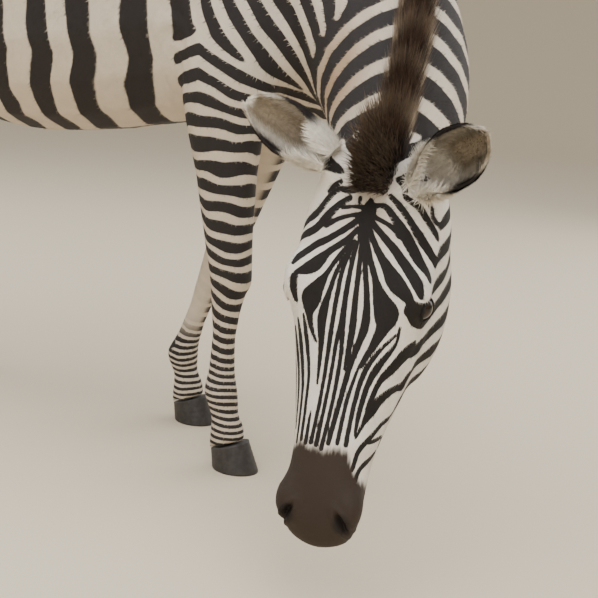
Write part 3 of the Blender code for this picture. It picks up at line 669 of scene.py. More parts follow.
        muzzle = self.muzzle(local) * on_head
        lip = on_head * smooth(local[:, 2], 0.088, 0.112) * smooth(local[:, 1], 0.455, 0.50)
        black = self.bare_skin(local) * on_head
        face = np.stack([cheek, on_head, dark], axis=1)
        tone = np.stack([tan_and_shade, plain, lines], axis=1)
        skin = np.stack([muzzle, lip, black], axis=1)
        return Marks(phases, np.stack([upright, leg, on_neck], axis=1), face, np.pad(band, ((0, 0), (0, 1))),
                     tone, skin)

    def muzzle(self, local: Array) -> Array:
        """How far each place of the head is inside the dark muzzle."""
        _, across = self.anatomy.head.round_face(local)
        strands = np.stack([across, local[:, 1] * 0.15, across * 0], axis=1)
        edge = np.interp(across, self.muzzle_places, self.muzzle_edges) + 0.007 * drift(strands, 330.0, 4.0)
        return smooth(local[:, 1], edge - 0.007, edge + 0.009)

    def bare_skin(self, local: Array) -> Array:
        """The black skin of lids, nostrils and lips.

        Args:
            local: (left, along, below) rows.

        Returns:
            How bare each place is, from 0 to 1.
        """
        head = self.anatomy.head
        side = np.abs(local[:, 0])
        eye = np.hypot((local[:, 1] - head.eye_along) * 0.84, (local[:, 2] - head.eye_below) * 1.45)
        lids = smooth(eye, 0.0235, 0.0165) * smooth(side, 0.06, 0.075)
        nostril = np.hypot((side - head.nostril_side) * 1.2, local[:, 1] - head.nostril_along)
        nose = smooth(nostril, 0.020, 0.010) * smooth(local[:, 2], 0.085, 0.06)
        mouth = bump_at(local[:, 2] - mouth_line(local[:, 1]), 0.006) * smooth(local[:, 1], 0.455, 0.48)
        return np.clip(lids + nose * 0.7 + mouth, 0.0, 1.0)


def mouth_line(along: Array) -> Array:
    """How deep below the face the mouth runs, at each place along the head."""
    return 0.101 + 0.22 * (0.575 - along)


# ---- node graphs


Input = Union["Wire", float, int, str, tuple, object]


class Graph:
    """A node tree, with one way to add a node and small helpers for the sums between them."""

    def __init__(self, tree: Any) -> None:
        """Keeps the tree that the nodes go in."""
        self.tree = tree

    def add(self, kind: str, settings: dict[str, Any] | None = None, inputs: dict | None = None) -> "Wire":
        """Adds one node.

        Args:
            kind: The node's type.
            settings: Its own properties, set first.
            inputs: Values or wires for its sockets, by name or by number.

        Returns:
            Its first output.
        """
        node = self.tree.nodes.new(kind)
        for name, value in (settings or {}).items():
            setattr(node, name, value)
        self.feed(node, inputs or {})
        return Wire(self, node, 0)

    def feed(self, node: Any, inputs: dict) -> None:
        """Gives a node its inputs.

        Args:
            node: The node.
            inputs: Values or wires for its sockets, by name or by number.
        """
        for key, value in inputs.items():
            if isinstance(value, Wire):
                self.tree.links.new(value.socket, node.inputs[key])
            else:
                node.inputs[key].default_value = value

    def mix(self, kind: str, factor: Input, first: Input, second: Input, blend: str = "MIX") -> "Wire":
        """Blends two numbers, vectors or colours.

        Args:
            kind: FLOAT, VECTOR or RGBA.
            factor: 0 gives the first.
            first: What it starts from.
            second: What it ends at.
            blend: The way that colours blend.

        Returns:
            The blend.
        """
        places = {"FLOAT": (2, 3, 0), "VECTOR": (4, 5, 1), "RGBA": (6, 7, 2)}[kind]
        settings = {"data_type": kind}
        if kind == "RGBA":
            settings["blend_type"] = blend
        made = self.add("ShaderNodeMix", settings, {0: factor, places[0]: first, places[1]: second})
        return made.output(places[2])

    def vector(self, operation: str, first: Input, second: Input | None = None) -> "Wire":
        """A sum of vectors. Its number comes out at output 1."""
        inputs = {0: first} if second is None else {0: first, 1: second}
        return self.add("ShaderNodeVectorMath", {"operation": operation}, inputs)

    def scaled(self, vector: "Wire", factor: Input) -> "Wire":
        """A vector times a number."""
        return self.add("ShaderNodeVectorMath", {"operation": "SCALE"}, {0: vector, 3: factor})

    def ramp(self, value: "Wire", low: float, high: float) -> "Wire":
        """A soft ramp from 0 at low to 1 at high."""
        settings = {"interpolation_type": "SMOOTHSTEP"}
        return self.add("ShaderNodeMapRange", settings, {0: value, 1: low, 2: high, 3: 0.0, 4: 1.0})

    def attribute(self, name: str, number: bool = False) -> "Wire":
        """A mark stored on the mesh: its three numbers, or its one number."""
        return self.add("ShaderNodeAttribute", {"attribute_name": name}).output(2 if number else 1)

    def place(self) -> "Wire":
        """Each place in the object's own coordinates."""
        return self.add("ShaderNodeTexCoord").output(3)

    def noise(self, place: "Wire", scale: float, detail: float) -> "Wire":
        """A noise texture over these places."""
        return self.add("ShaderNodeTexNoise", inputs={"Vector": place, "Scale": scale, "Detail": detail})

    def shaded(self, colour: "Wire", shade: "Wire") -> "Wire":
        """A colour times a number."""
        grey = self.add("ShaderNodeCombineColor", inputs={0: shade, 1: shade, 2: shade})
        return self.mix("RGBA", 1.0, colour, grey, "MULTIPLY")

    def parts(self, vector: "Wire") -> tuple["Wire", "Wire", "Wire"]:
        """The three numbers of a vector."""
        split = self.add("ShaderNodeSeparateXYZ", inputs={0: vector})
        return split, split.output(1), split.output(2)


class Wire:
    """An output of a node, with sums as operators."""

    def __init__(self, graph: Graph, node: Any, index: int) -> None:
        """Keeps where the wire starts."""
        self.graph, self.node, self.index = graph, node, index

    @property
    def socket(self) -> Any:
        """The output socket itself."""
        return self.node.outputs[self.index]

    def output(self, index: int) -> "Wire":
        """Another output of the same node."""
        return Wire(self.graph, self.node, index)

    def sum(self, operation: str, *others: Input, first: Input | None = None) -> "Wire":
        """One Math node.

        Args:
            operation: What it does.
            *others: Its further inputs.
            first: The first input, where this wire is the second.

        Returns:
            The result.
        """
        values = [self, *others] if first is None else [first, self]
        return self.graph.add("ShaderNodeMath", {"operation": operation}, dict(enumerate(values)))

    def __add__(self, other: Input) -> "Wire":
        """Sum."""
        return self.sum("ADD", other)

    def __radd__(self, other: Input) -> "Wire":
        """Sum, with a number first."""
        return self.sum("ADD", first=other)

    def __sub__(self, other: Input) -> "Wire":
        """Difference."""
        return self.sum("SUBTRACT", other)

    def __rsub__(self, other: Input) -> "Wire":
        """Difference from a number."""
        return self.sum("SUBTRACT", first=other)

    def __mul__(self, other: Input) -> "Wire":
        """Product."""
        return self.sum("MULTIPLY", other)

    def __rmul__(self, other: Input) -> "Wire":
        """Product, with a number first."""
        return self.sum("MULTIPLY", first=other)

    def __truediv__(self, other: Input) -> "Wire":
        """Quotient."""
        return self.sum("DIVIDE", other)

    def cosine(self) -> "Wire":
        """The cosine of a phase in whole turns."""
        return (self * (2 * math.pi)).sum("COSINE")


# ---- finishes


def new_material(name: str) -> tuple[Any, Graph, Any]:
    """An empty material.

    Args:
        name: Its name.

    Returns:
        The material, its graph and its shader.
    """
    made = bpy.data.materials.new(name)
    made.use_nodes = True
    return made, Graph(made.node_tree), made.node_tree.nodes["Principled BSDF"]


@dataclass(frozen=True)
class CoatFinish:
    """Striped hair, as skin under the coat or as the blades of the coat itself."""

    name: str
    blades: bool = False
    body_white: Colour = srgb(213, 202, 185)
    face_white: Colour = srgb(230, 224, 213)
    tan_and_shade: Colour = srgb(166, 134, 102)
    body_black: Colour = srgb(44, 40, 40)
    face_black: Colour = srgb(31, 27, 25)
    muzzle: Colour = srgb(51, 41, 34)
    lip: Colour = srgb(64, 51, 45)
    bare: Colour = srgb(20, 17, 16)
    roughness: float = 0.72

    def build(self) -> Any:
        """The Blender material.

        Returns:
            The material, which reads the marks of its mesh.
        """
        made, graph, shader = new_material(self.name)

        place = graph.place()
        fine = graph.noise(place, 420.0, 2.0)
        broad = graph.noise(place, 34.0, 3.0)
        phase_a, phase_b, phase_c = graph.parts(graph.attribute("phases"))
        weight_a, weight_b, weight_c = graph.parts(graph.attribute("weights"))
        cheek, on_head, dark = graph.parts(graph.attribute("face"))
        band, banded, _ = graph.parts(graph.attribute("band"))
        tan_and_shade, plain, lines = graph.parts(graph.attribute("tone"))
        muzzle, lip, bare = graph.parts(graph.attribute("skin"))

        ragged = (fine - 0.5) * 0.05
        body_wave = (phase_a + ragged).cosine() * weight_a + (phase_b + ragged).cosine() * weight_b
        wave = body_wave + (phase_c + ragged).cosine() * weight_c + (cheek + ragged).cosine() * on_head
        wave = wave - (dark * math.pi).sum("COSINE")
        wave = graph.mix("FLOAT", banded, wave, band + (fine - 0.5) * 0.25)
        ink = graph.ramp(wave, -0.12, 0.12) * (1.0 - plain)
        ink = ink.sum("MAXIMUM", graph.ramp(lines, 0.45, 0.75))

        light = graph.mix("RGBA", on_head, self.body_white, self.face_white)
        # The tan mix also carries the painted shade under the base of the neck.
        light = graph.mix("RGBA", tan_and_shade * 0.8, light, self.tan_and_shade)
        deep = graph.mix("RGBA", on_head, self.body_black, self.face_black)
        colour = graph.mix("RGBA", ink, light, deep)
        colour = graph.mix("RGBA", muzzle, colour, self.muzzle)
        colour = graph.mix("RGBA", lip * muzzle, colour, self.lip)
        colour = graph.mix("RGBA", bare, colour, self.bare)
        shade = 0.80 + broad * 0.22 + fine * 0.18
        colour = graph.shaded(colour, shade)
        graph.feed(shader, {"Base Color": colour, "Roughness": self.roughness, "Specular IOR Level": 0.25})
        if self.blades:
            own = graph.add("ShaderNodeNewGeometry").output(1)
            normal = graph.vector("NORMALIZE", graph.mix("VECTOR", 0.30, graph.attribute("root_normal"), own))
        else:
            height = fine * 0.6 + broad * 0.4
            normal = graph.add("ShaderNodeBump",
                               inputs={"Strength": 0.35, "Distance": 0.0012, "Height": height})
        graph.feed(shader, {"Normal": normal})
        return made


@dataclass(frozen=True)
class HairFinish:
    """Long hair whose colour is painted at its root and changes toward its tip."""

    name: str
    tip: Colour = srgb(94, 74, 61)
    tipping: float = 0.75
    roughness: float = 0.66

    def build(self) -> Any:
        """The Blender material.

        Returns:
            The material, which reads the paint and the tip share of its mesh.
        """
        made, graph, shader = new_material(self.name)
        paint = graph.add("ShaderNodeAttribute", {"attribute_name": "paint"}).output(0)
        tip = graph.attribute("tip", number=True)
        place = graph.place()
        streak = graph.noise(place, 160.0, 2.0)
        colour = graph.mix("RGBA", graph.ramp(tip, 0.45, 1.0) * self.tipping, paint, self.tip)
        shade = 0.60 + streak * 0.80
        colour = graph.shaded(colour, shade)
        graph.feed(shader, {"Base Color": colour, "Roughness": self.roughness, "Specular IOR Level": 0.3})
        return made


@dataclass(frozen=True)
class PlainFinish:
    """One colour with a little uneven shade, such as horn, the floor or the heart of the mane."""

    name: str
    colour: Colour
    roughness: float
    bump: float = 0.0
    grain: float = 60.0
    even: bool = False

    def build(self) -> Any:
        """The Blender material.

        Returns:
            The material.
        """
        made, graph, shader = new_material(self.name)
        place = graph.place()
        grain = graph.noise(place, self.grain, 3.0)
        darker = self.colour if self.even else (*(part * 0.6 for part in self.colour[:3]), 1.0)
        colour = graph.mix("RGBA", graph.ramp(grain, 0.35, 0.7), darker, self.colour)
        graph.feed(shader, {"Base Color": colour, "Roughness": self.roughness})
        if self.bump:
            normal = graph.add("ShaderNodeBump",
                               inputs={"Strength": self.bump, "Distance": 0.001, "Height": grain})
            graph.feed(shader, {"Normal": normal})
        return made


# ---- meshes


def mesh_object(name: str, points: Array, faces: Sequence[Sequence[int]], material: Any = None) -> Any:
    """A new object in the scene.

    Args:
        name: Its name.
        points: Corner points, one per row.
        faces: The corners of each face.
        material: What it is made of.

    Returns:
        The object.
    """
    mesh = bpy.data.meshes.new(name)
    mesh.from_pydata([tuple(point) for point in points], [], [tuple(face) for face in faces])
    mesh.update()
    made = bpy.data.objects.new(name, mesh)
    bpy.context.scene.collection.objects.link(made)
    if material:
        mesh.materials.append(material)
    return made


def vertices(mesh: Any) -> Array:
    """The corner points of a mesh, one per row."""
    found = np.empty(len(mesh.vertices) * 3)
    mesh.vertices.foreach_get("co", found)
    return found.reshape(-1, 3)


def normals(mesh: Any) -> Array:
    """The way out at each corner point."""
    found = np.empty(len(mesh.vertices) * 3, np.float32)
    mesh.vertex_normals.foreach_get("vector", found)
    return found.reshape(-1, 3).astype(float)


def move_to(mesh: Any, points: Array) -> None:
    """Puts the corner points of a mesh at new places."""
    mesh.vertices.foreach_set("co", points.ravel())
    mesh.update()


def give(mesh: Any, name: str, values: Array) -> None:
    """Stores a number or a vector at each corner point.

    Args:
        mesh: The mesh.
        name: The attribute's name.
        values: One row, or one number, for each point.
    """
    kind, key = ("FLOAT", "value") if values.ndim == 1 else ("FLOAT_VECTOR", "vector")
    made = mesh.attributes.new(name, kind, "POINT")
    made.data.foreach_set(key, values.astype(np.float32).ravel())


def corner_points(mesh: Any) -> Array:
    """Which point each corner of a face is at."""
    found = np.empty(len(mesh.loops), np.int32)
    mesh.loops.foreach_get("vertex_index", found)
    return found


def give_map(mesh: Any, places: Array) -> None:
    """Stores the OFBake map: a row for each corner of a face."""
    mesh.uv_layers.new(name="OFBake").data.foreach_set("uv", places.ravel())


def give_hair_marks(mesh: Any, lies: list, lengths: list, colours: list, maps: list) -> None:
    """Stores what long hair needs to know where it grows, with a row for each point.

    Args:
        mesh: The mesh that the hair grows from.
        lies: The way that hair leaves it.
        lengths: How long the hair is.
        colours: The colour of its root.
        maps: Where it lies on the OFBake map.
    """
    give(mesh, "lie", np.array(lies))
    give(mesh, "hair", np.array(lengths))
    give(mesh, "cover", np.ones(len(lies)))
    give(mesh, "paint", np.array(colours))
    give_map(mesh, np.array(maps)[corner_points(mesh)])


def face_outward(mesh: Any) -> None:
    """Turns every face of a closed mesh outward.

    Args:
        mesh: The mesh, changed in place.
    """
    work = bmesh.new()
    work.from_mesh(mesh)
    bmesh.ops.recalc_face_normals(work, faces=work.faces)
    work.to_mesh(mesh)
    work.free()


def tube_faces(rings: int, sides: int) -> list[tuple[int, ...]]:
    """The faces between rings of points, where each ring is closed.

    Args:
        rings: How many rings there are.
        sides: How many points each has.

    Returns:
        The corners of each face.
    """
    faces = []
    for start in range(0, (rings - 1) * sides, sides):
        for step in range(sides):
            after = (step + 1) % sides
            faces.append((start + step, start + after, start + sides + after, start + sides + step))
    return faces


def evened(points: Array, edges: Array, rounds: int, moved: Array | None = None) -> Array:
    """Smooths a surface with hardly any loss of size.

    Args:
        points: Corner points.
        edges: Pairs of neighbours.
        rounds: How many times.
        moved: How far each point takes part, from 0 to 1.

    Returns:
        The new points.
    """
    count = np.bincount(edges.ravel(), minlength=len(points))[:, None].astype(float)
    share = 1.0 if moved is None else moved[:, None]
    for turn in range(rounds * 2):
        total = np.zeros_like(points)
        np.add.at(total, edges[:, 0], points[edges[:, 1]])
        np.add.at(total, edges[:, 1], points[edges[:, 0]])
        step = 0.5 if turn % 2 == 0 else -0.52
        points = points + (total / np.maximum(count, 1) - points) * step * share
    return points


def spread(values: Array, edges: Array, rounds: int) -> Array:
    """Lets a number per point run into its neighbours.

    Args:
        values: The numbers.
        edges: Pairs of neighbours.
        rounds: How many times.

    Returns:
        The softened numbers.
    """
    count = np.bincount(edges.ravel(), minlength=len(values)).astype(float)
    for _ in range(rounds):
        total = np.bincount(edges[:, 0], values[edges[:, 1]], len(values))
        total += np.bincount(edges[:, 1], values[edges[:, 0]], len(values))
        values = 0.4 * values + 0.6 * total / np.maximum(count, 1)
    return values


def edge_pairs(mesh: Any) -> Array:
    """The two ends of each edge."""
    found = np.empty(len(mesh.edges) * 2, np.int32)
    mesh.edges.foreach_get("vertices", found)
    return found.reshape(-1, 2)


def evaluated_copy(source: Any, name: str) -> Any:
    """A plain mesh object of what an object's modifiers make.

    Args:
        source: The object, which is removed.
        name: The name of the new one.

    Returns:
        The new object.
    """
    graph = bpy.context.evaluated_depsgraph_get()
    mesh = bpy.data.meshes.new_from_object(source.evaluated_get(graph), preserve_all_data_layers=True,
                                           depsgraph=graph)
    made = bpy.data.objects.new(name, mesh)
    bpy.context.scene.collection.objects.link(made)
    bpy.data.objects.remove(source)
    mesh.name = name
    return made


# ---- skin


@dataclass
class Skin:
    """The one skin over head, neck, trunk, tail and legs."""

    anatomy: Anatomy
    markings: Markings
    voxel: float = 0.0104
    overlap: float = 0.0012
    rounds: int = 7
    body_depth: float = 0.0045
    head_depth: float = 0.0030
    leg_depth: float = 0.0034
    eye_sink: float = 0.004
    head_hair: float = 0.0045
    leg_hair: float = 0.0044
    body_hair: float = 0.0072

    def build(self) -> Any:
        """Makes the skin's shape.

        Returns:
            The skin object, unwrapped and marked.
        """
        skin = self.joined()
        self.refine(skin.data)
        self.sculpt(skin.data)
        self.mark(skin.data)
        self.unwrap(skin.data)
        skin.data.shade_smooth()
        LOG.info("skin: %d faces", len(skin.data.polygons))
        return skin

    def joined(self) -> Any:
        """One closed surface round all the solids of flesh."""
        points, faces = [], []
        for node in (*FLESH, "eye_right", "eye_left"):
            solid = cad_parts[node]
            start = sum(len(block) for block in points)
            grow = -self.eye_sink if node.startswith("eye") else self.overlap
            points.append(points_of(node) + normals(solid.data) * grow)
            faces += [[start + corner for corner in face.vertices] for face in solid.data.polygons]
        rough = mesh_object("skin_rough", np.vstack(points), faces)
        remesh = rough.modifiers.new("remesh", "REMESH")
        remesh.mode = "VOXEL"
        remesh.voxel_size = self.voxel
        skin = evaluated_copy(rough, "skin")
        move_to(skin.data, evened(vertices(skin.data), edge_pairs(skin.data), self.rounds))
        return skin

    def refine(self, mesh: Any) -> None:
        """Splits the faces of the head once, and those of the face, nostrils and eyes again.

        Args:
            mesh: The skin's mesh, changed in place.
        """
        head = self.anatomy.head
        joint, facing = self.anatomy.neck_joint()
        eyes = [head.eye_place(side) for side in (-1, 1)]
        noses = [head.world(side * head.nostril_side, head.nostril_along, head.nostril_below)
                 for side in (-1, 1)]

        def on_head(points: Array) -> Array:
            """Which points lie beyond the joint with the neck."""
            return ((points - joint) @ facing < 0.03) & (np.linalg.norm(points - joint, axis=1) < 0.65)

        def near(places: list[Array], reach: float) -> Callable[[Array], Array]:
            """A test for points close to any of these places."""
            return lambda points: np.min([np.linalg.norm(points - place, axis=1) for place in places],
                                         axis=0) < reach

        nostrils = near(noses, 0.040)

        def on_face(points: Array) -> Array:
            """Which points the fine bands and the nostrils need small faces for."""
            local = head.local(points)
            _, across = head.round_face(local)
            banded = (np.abs(across) < 0.130) & (local[:, 1] > 0.035) & (local[:, 1] < 0.480)
            return on_head(points) & (banded | nostrils(points))

        for test in (on_head, on_face, near(eyes, 0.030)):
            work = bmesh.new()
            work.from_mesh(mesh)
            inside = test(np.array([vert.co for vert in work.verts]))
            split = [edge for edge in work.edges if all(inside[vert.index] for vert in edge.verts)]
            bmesh.ops.subdivide_edges(work, edges=split, cuts=1, use_grid_fill=True)
            bmesh.ops.triangulate(work, faces=[face for face in work.faces if len(face.verts) > 4])
            bmesh.ops.recalc_face_normals(work, faces=work.faces)
            work.to_mesh(mesh)
            work.free()
            points = vertices(mesh)
            moved = test(points).astype(float)
            move_to(mesh, evened(points, edge_pairs(mesh), 3, moved))

    def sculpt(self, mesh: Any) -> None:
        """Sinks the skin by the depth of the coat, and adds lids, nostrils, lips, folds and tendons.

        Args:
            mesh: The skin's mesh, changed in place.
        """
        points, out = vertices(mesh), normals(mesh)
        anatomy, head = self.anatomy, self.anatomy.head
        body, local = anatomy.body(points), head.local(points)
        region = anatomy.regions(points)
        on_head = (region == Region.HEAD).astype(float)
        depth = np.where(region == Region.HEAD, self.head_depth,
                         np.where(region >= Region.FRONT_RIGHT, self.leg_depth, self.body_depth))
        shift = -depth
        side, along, below = np.abs(local[:, 0]), local[:, 1], local[:, 2]

        ridge = (bump_at(below - 0.098 + 0.10 * (along - 0.25), 0.010)
                 * smooth(along, 0.22, 0.26) * smooth(along, 0.40, 0.34))
        temple = bump_at(np.hypot(side - 0.072, along - 0.135), 0.028) * smooth(below, 0.06, 0.02)
        mouth = bump_at(below - mouth_line(along), 0.0042) * smooth(along, 0.465, 0.49)
        chin_fold = bump_at(along - 0.475, 0.010) * smooth(below, 0.10, 0.12)
        past = along - head.nostril_along
        slit = np.hypot((side - head.nostril_side - 0.55 * past) / 0.0085, past / 0.019)
        nostril = smooth(slit, 1.0, 0.35) * smooth(below, 0.085, 0.065)
        rim = bump_at(slit - 1.25, 0.35) * smooth(below, 0.085, 0.065)
        jaw = bump_at(np.hypot(along - 0.285, (below - 0.155) * 0.6), 0.030)
        face = 0.0028 * ridge - 0.0040 * temple - 0.0050 * mouth - 0.002 * chin_fold - 0.013 * nostril
        shift = shift + on_head * (face + 0.0022 * rim - 0.002 * jaw)

        x, y, z = body.T
        elbow = np.hypot(y - 0.085, (z - 0.77) * 0.45)
        folds = np.sin(elbow * 2 * math.pi / 0.020) * bump_at(elbow - 0.035, 0.035) * (np.abs(x) > 0.10)
        blade = bump_at(y - 0.02 + 0.30 * (z - 1.0), 0.03) * smooth(z, 0.86, 0.95) * smooth(z, 1.22, 1.12)
        ribs = np.sin(y * 2 * math.pi / 0.075) * smooth(y, 0.12, 0.24) * smooth(y, 0.60, 0.45)
        ribs = ribs * bump_at(z - 0.93, 0.13)
        shift = shift + (region == Region.TRUNK) * (0.0018 * folds - 0.0035 * blade + 0.0012 * ribs)
        for number, name in enumerate(LEGS):
            outward, behind = anatomy.legs[name].offset(points)
            shank = smooth(z, 0.13, 0.18) * smooth(z, 0.34, 0.28)
            groove = bump_at(behind - 0.006, 0.005) * shank * smooth(np.abs(outward), 0.008, 0.014)
            knee = bump_at(z - (0.375 if number < 2 else 0.44), 0.018) * smooth(behind, 0.0, -0.02)
            shift = shift + (region == Region.FRONT_RIGHT + number) * (-0.0028 * groove + 0.0016 * knee)
        points = points + out * shift[:, None]
        for way in (-1.0, 1.0):
            points = self.lids(points, way)
        move_to(mesh, points)

    def lids(self, points: Array, way: float) -> Array:
        """Draws the skin over one eyeball and opens an almond in it.

        Args:
            points: The skin's corner points.
            way: -1 for the right eye, 1 for the left.

        Returns:
            The new points.
        """
        head = self.anatomy.head
        centre = head.eye_place(way)
        out = head.eye_facing(way)
        slant = head.along * 0.97 + head.below * 0.28
        length = unit(slant - out * slant @ out)
        up = np.cross(length, out)
        up = up * np.sign(-(up @ head.below))
        offset = points - centre
        radius = np.linalg.norm(offset, axis=1)
        x, y, depth = offset @ length, offset @ up, offset @ out
        tall = np.where(y > 0, 0.0090, 0.0080) * np.clip(1 - (x / 0.0205) ** 2, 0.05, 1.0)
        opening = np.maximum(np.abs(y) / tall, np.abs(x) / 0.0205)
        ball = head.eye_radius
        inside = (opening < 1) & (depth > 0)
        lid = ball + 0.0019 * smooth(opening, 1.0, 1.14)
        lid = lid + 0.0012 * bump_at(opening - 1.5, 0.35) * (y > 0) - 0.0009 * bump_at(opening - 2.2, 0.35)
        reach = smooth(radius, 0.040, 0.026) * smooth(depth, -0.008, 0.004)
        target = np.where(inside, ball - 0.0045, np.maximum(lid, radius * smooth(opening, 1.1, 2.4)))
        target = np.where(inside, target, np.where(opening < 1.5, lid, target))
        moved = radius + (target - radius) * reach
        return centre + offset * (moved / np.maximum(radius, 1e-6))[:, None]

    def mark(self, mesh: Any) -> None:
        """Stores the markings, and how the coat lies and how long it is.

        Args:
            mesh: The skin's mesh, changed in place.
        """
        points, out = vertices(mesh), normals(mesh)
        region = self.anatomy.regions(points)
        pairs = edge_pairs(mesh)
        limb = spread((region >= Region.FRONT_RIGHT).astype(float), pairs, 22)
        marks = self.markings.at(points, out, region, limb)
        for name, values in vars(marks).items():
            give(mesh, name, values)
        lie, length, cover = self.coat(points, out, region, marks)
        give(mesh, "lie", lie)
        give(mesh, "hair", length)
        give(mesh, "cover", cover)
        give(mesh, "root_normal", out)

    def coat(self, points: Array, out: Array, region: Array, marks: Marks) -> tuple[Array, Array, Array]:
        """How the coat lies.

        Args:
            points: Places on the skin.
            out: The way out at each.
            region: Their region numbers.
            marks: Their markings.

        Returns:
            The way that hair lies, its length, and how thickly it grows.
        """
        head = self.anatomy.head
        local, body = head.local(points), self.anatomy.body(points)
        neck = self.anatomy.neck
        share, _ = neck.coordinates(points)
        down = np.array([0.0, 0.0, -1.0])
        back = np.array([0.0, 0.75, -0.55])
        lie = np.tile(back, (len(points), 1))
        last = neck.steps - 1
        step = ((share - neck.first) / (1 - neck.first) * last).astype(int)
        ways = neck.ways[np.clip(step, 0, last)]
        on_neck = ((region <= Region.TRUNK) * smooth(share, 0.0, 0.3))[:, None]
        lie = lie * (1 - on_neck) + (down * 0.55 - ways * 0.75) * on_neck
        lie = np.where((region >= Region.DOCK)[:, None], down + 0.15 * back, lie)
        from_whorl = unit(local[:, :2] - np.array(self.markings.whorl))
        on_face = from_whorl[:, :1] * head.left + from_whorl[:, 1:] * head.along + 0.25 * head.below
        away = smooth(local[:, 1], 0.16, 0.30)[:, None]
        on_face = on_face * (1 - away) + head.along * away
        lie = np.where((region == Region.HEAD)[:, None], on_face, lie)
        lie = unit(lie - out * (lie * out).sum(1, keepdims=True))
        long = np.where(region >= Region.FRONT_RIGHT, self.leg_hair, self.body_hair)
        length = np.where(region == Region.HEAD, self.head_hair, long)
        length = length * np.where((region == Region.HEAD) & (local[:, 1] > 0.40), 0.65, 1.0)
        length = np.where(body[:, 2] < 0.16, length * 0.8, length)
        cover = np.where(region == Region.HEAD, 2.3, np.where(region >= Region.FRONT_RIGHT, 1.5, 1.0))
        cover = cover * (1 - marks.skin[:, 2]) * (1 - 0.8 * marks.skin[:, 0])
        return lie, length, np.clip(cover, 0.0, None)

    def unwrap(self, mesh: Any) -> None:
        """Lays each region out round its own axis, with the head much enlarged.

        Args:
            mesh: The skin's mesh, which gets the OFBake map.
        """
        places = {
            Region.HEAD: (0.010, 0.500, 0.510, 0.990),
            Region.NECK: (0.520, 0.500, 0.850, 0.990),
            Region.TRUNK: (0.010, 0.010, 0.600, 0.480),
            Region.DOCK: (0.880, 0.500, 0.980, 0.990),
            Region.FRONT_RIGHT: (0.615, 0.010, 0.700, 0.480),
            Region.FRONT_LEFT: (0.710, 0.010, 0.795, 0.480),
            Region.BACK_RIGHT: (0.805, 0.010, 0.890, 0.480),
            Region.BACK_LEFT: (0.900, 0.010, 0.985, 0.480),
        }
        anatomy = self.anatomy
        points = vertices(mesh)
        body, local = anatomy.body(points), anatomy.head.local(points)
        share, neck_angle = anatomy.neck.coordinates(points)
        corners = corner_points(mesh)
        starts = np.empty(len(mesh.polygons), np.int32)
        mesh.polygons.foreach_get("loop_start", starts)
        sizes = np.empty(len(mesh.polygons), np.int32)
        mesh.polygons.foreach_get("loop_total", sizes)
        owner = np.repeat(np.arange(len(sizes)), sizes)
        region = anatomy.regions(points)[corners[starts]]
        angle = np.zeros((len(points), len(Region)))
        height = np.zeros_like(angle)
        angle[:, Region.HEAD], _ = anatomy.head.round_face(local)
        height[:, Region.HEAD] = (local[:, 1] + 0.09 - 0.10 * (local[:, 2] - 0.10)) / 0.70
        angle[:, Region.NECK], height[:, Region.NECK] = neck_angle, share - 0.15
        angle[:, Region.TRUNK], height[:, Region.TRUNK] = np.arctan2(body[:, 0], body[:, 2]
                                                                     - 0.96), (body[:, 1] + 0.40) / 1.62
        angle[:, Region.DOCK], height[:, Region.DOCK] = np.arctan2(body[:, 0], 1.165
                                                                   - body[:, 1]), (body[:, 2] - 0.76) / 0.46
        for number, name in enumerate(LEGS):
            outward, behind = anatomy.legs[name].offset(points)
            angle[:, Region.FRONT_RIGHT + number] = np.arctan2(outward, -behind)
            height[:, Region.FRONT_RIGHT + number] = body[:, 2] / 0.88
        kind = region[owner]
        turns = angle[corners, kind]
        first = turns[np.repeat(starts, sizes)]
        turns = first + (turns - first + math.pi) % (2 * math.pi) - math.pi
        rise = np.clip(height[corners, kind], 0.0, 1.0)
        box = np.array([places[part] for part in Region])[kind]
        across = np.clip(0.5 + turns / (2 * math.pi) * 0.94, 0.0, 1.0)
        found = np.stack([box[:, 0] + (box[:, 2] - box[:, 0]) * across,
                          box[:, 1] + (box[:, 3] - box[:, 1]) * rise], axis=1)
        give_map(mesh, found)


# ---- growing hair


PATCH_SIZE = 0.003


@dataclass
class Blade:
    """One flat tapering lock along +Y, one long and one wide. A growth scales it to size."""

    segments: int = 2
    bend: float = 0.10
    width: float = 1.0

    def build(self, name: str) -> Any:
        """The lock as an object that isn't part of the model.

        Args:
            name: Its name.

        Returns:
            The object.
        """
        rows = [(0.5 * self.width * (1 - (step / self.segments) ** 1.6), step / self.segments)
                for step in range(self.segments)]
        points = []
        for half, share in rows:
            lift = self.bend * share * share
            points += [(-half, share, lift), (half, share, lift)]
        points.append((0.0, 1.0, self.bend))
        faces = [(2 * row, 2 * row + 1, 2 * row + 3, 2 * row + 2) for row in range(self.segments - 1)]
        last = 2 * (self.segments - 1)
        faces.append((last, last + 1, last + 2))
        made = mesh_object(name, np.array(points), faces)
        cloud = np.array(points)
        give(made.data, "tip", cloud[:, 1])
        give(made.data, "patch", np.stack([cloud[:, 0], cloud[:, 1] - 0.5, cloud[:, 1] * 0], axis=1))
        return made


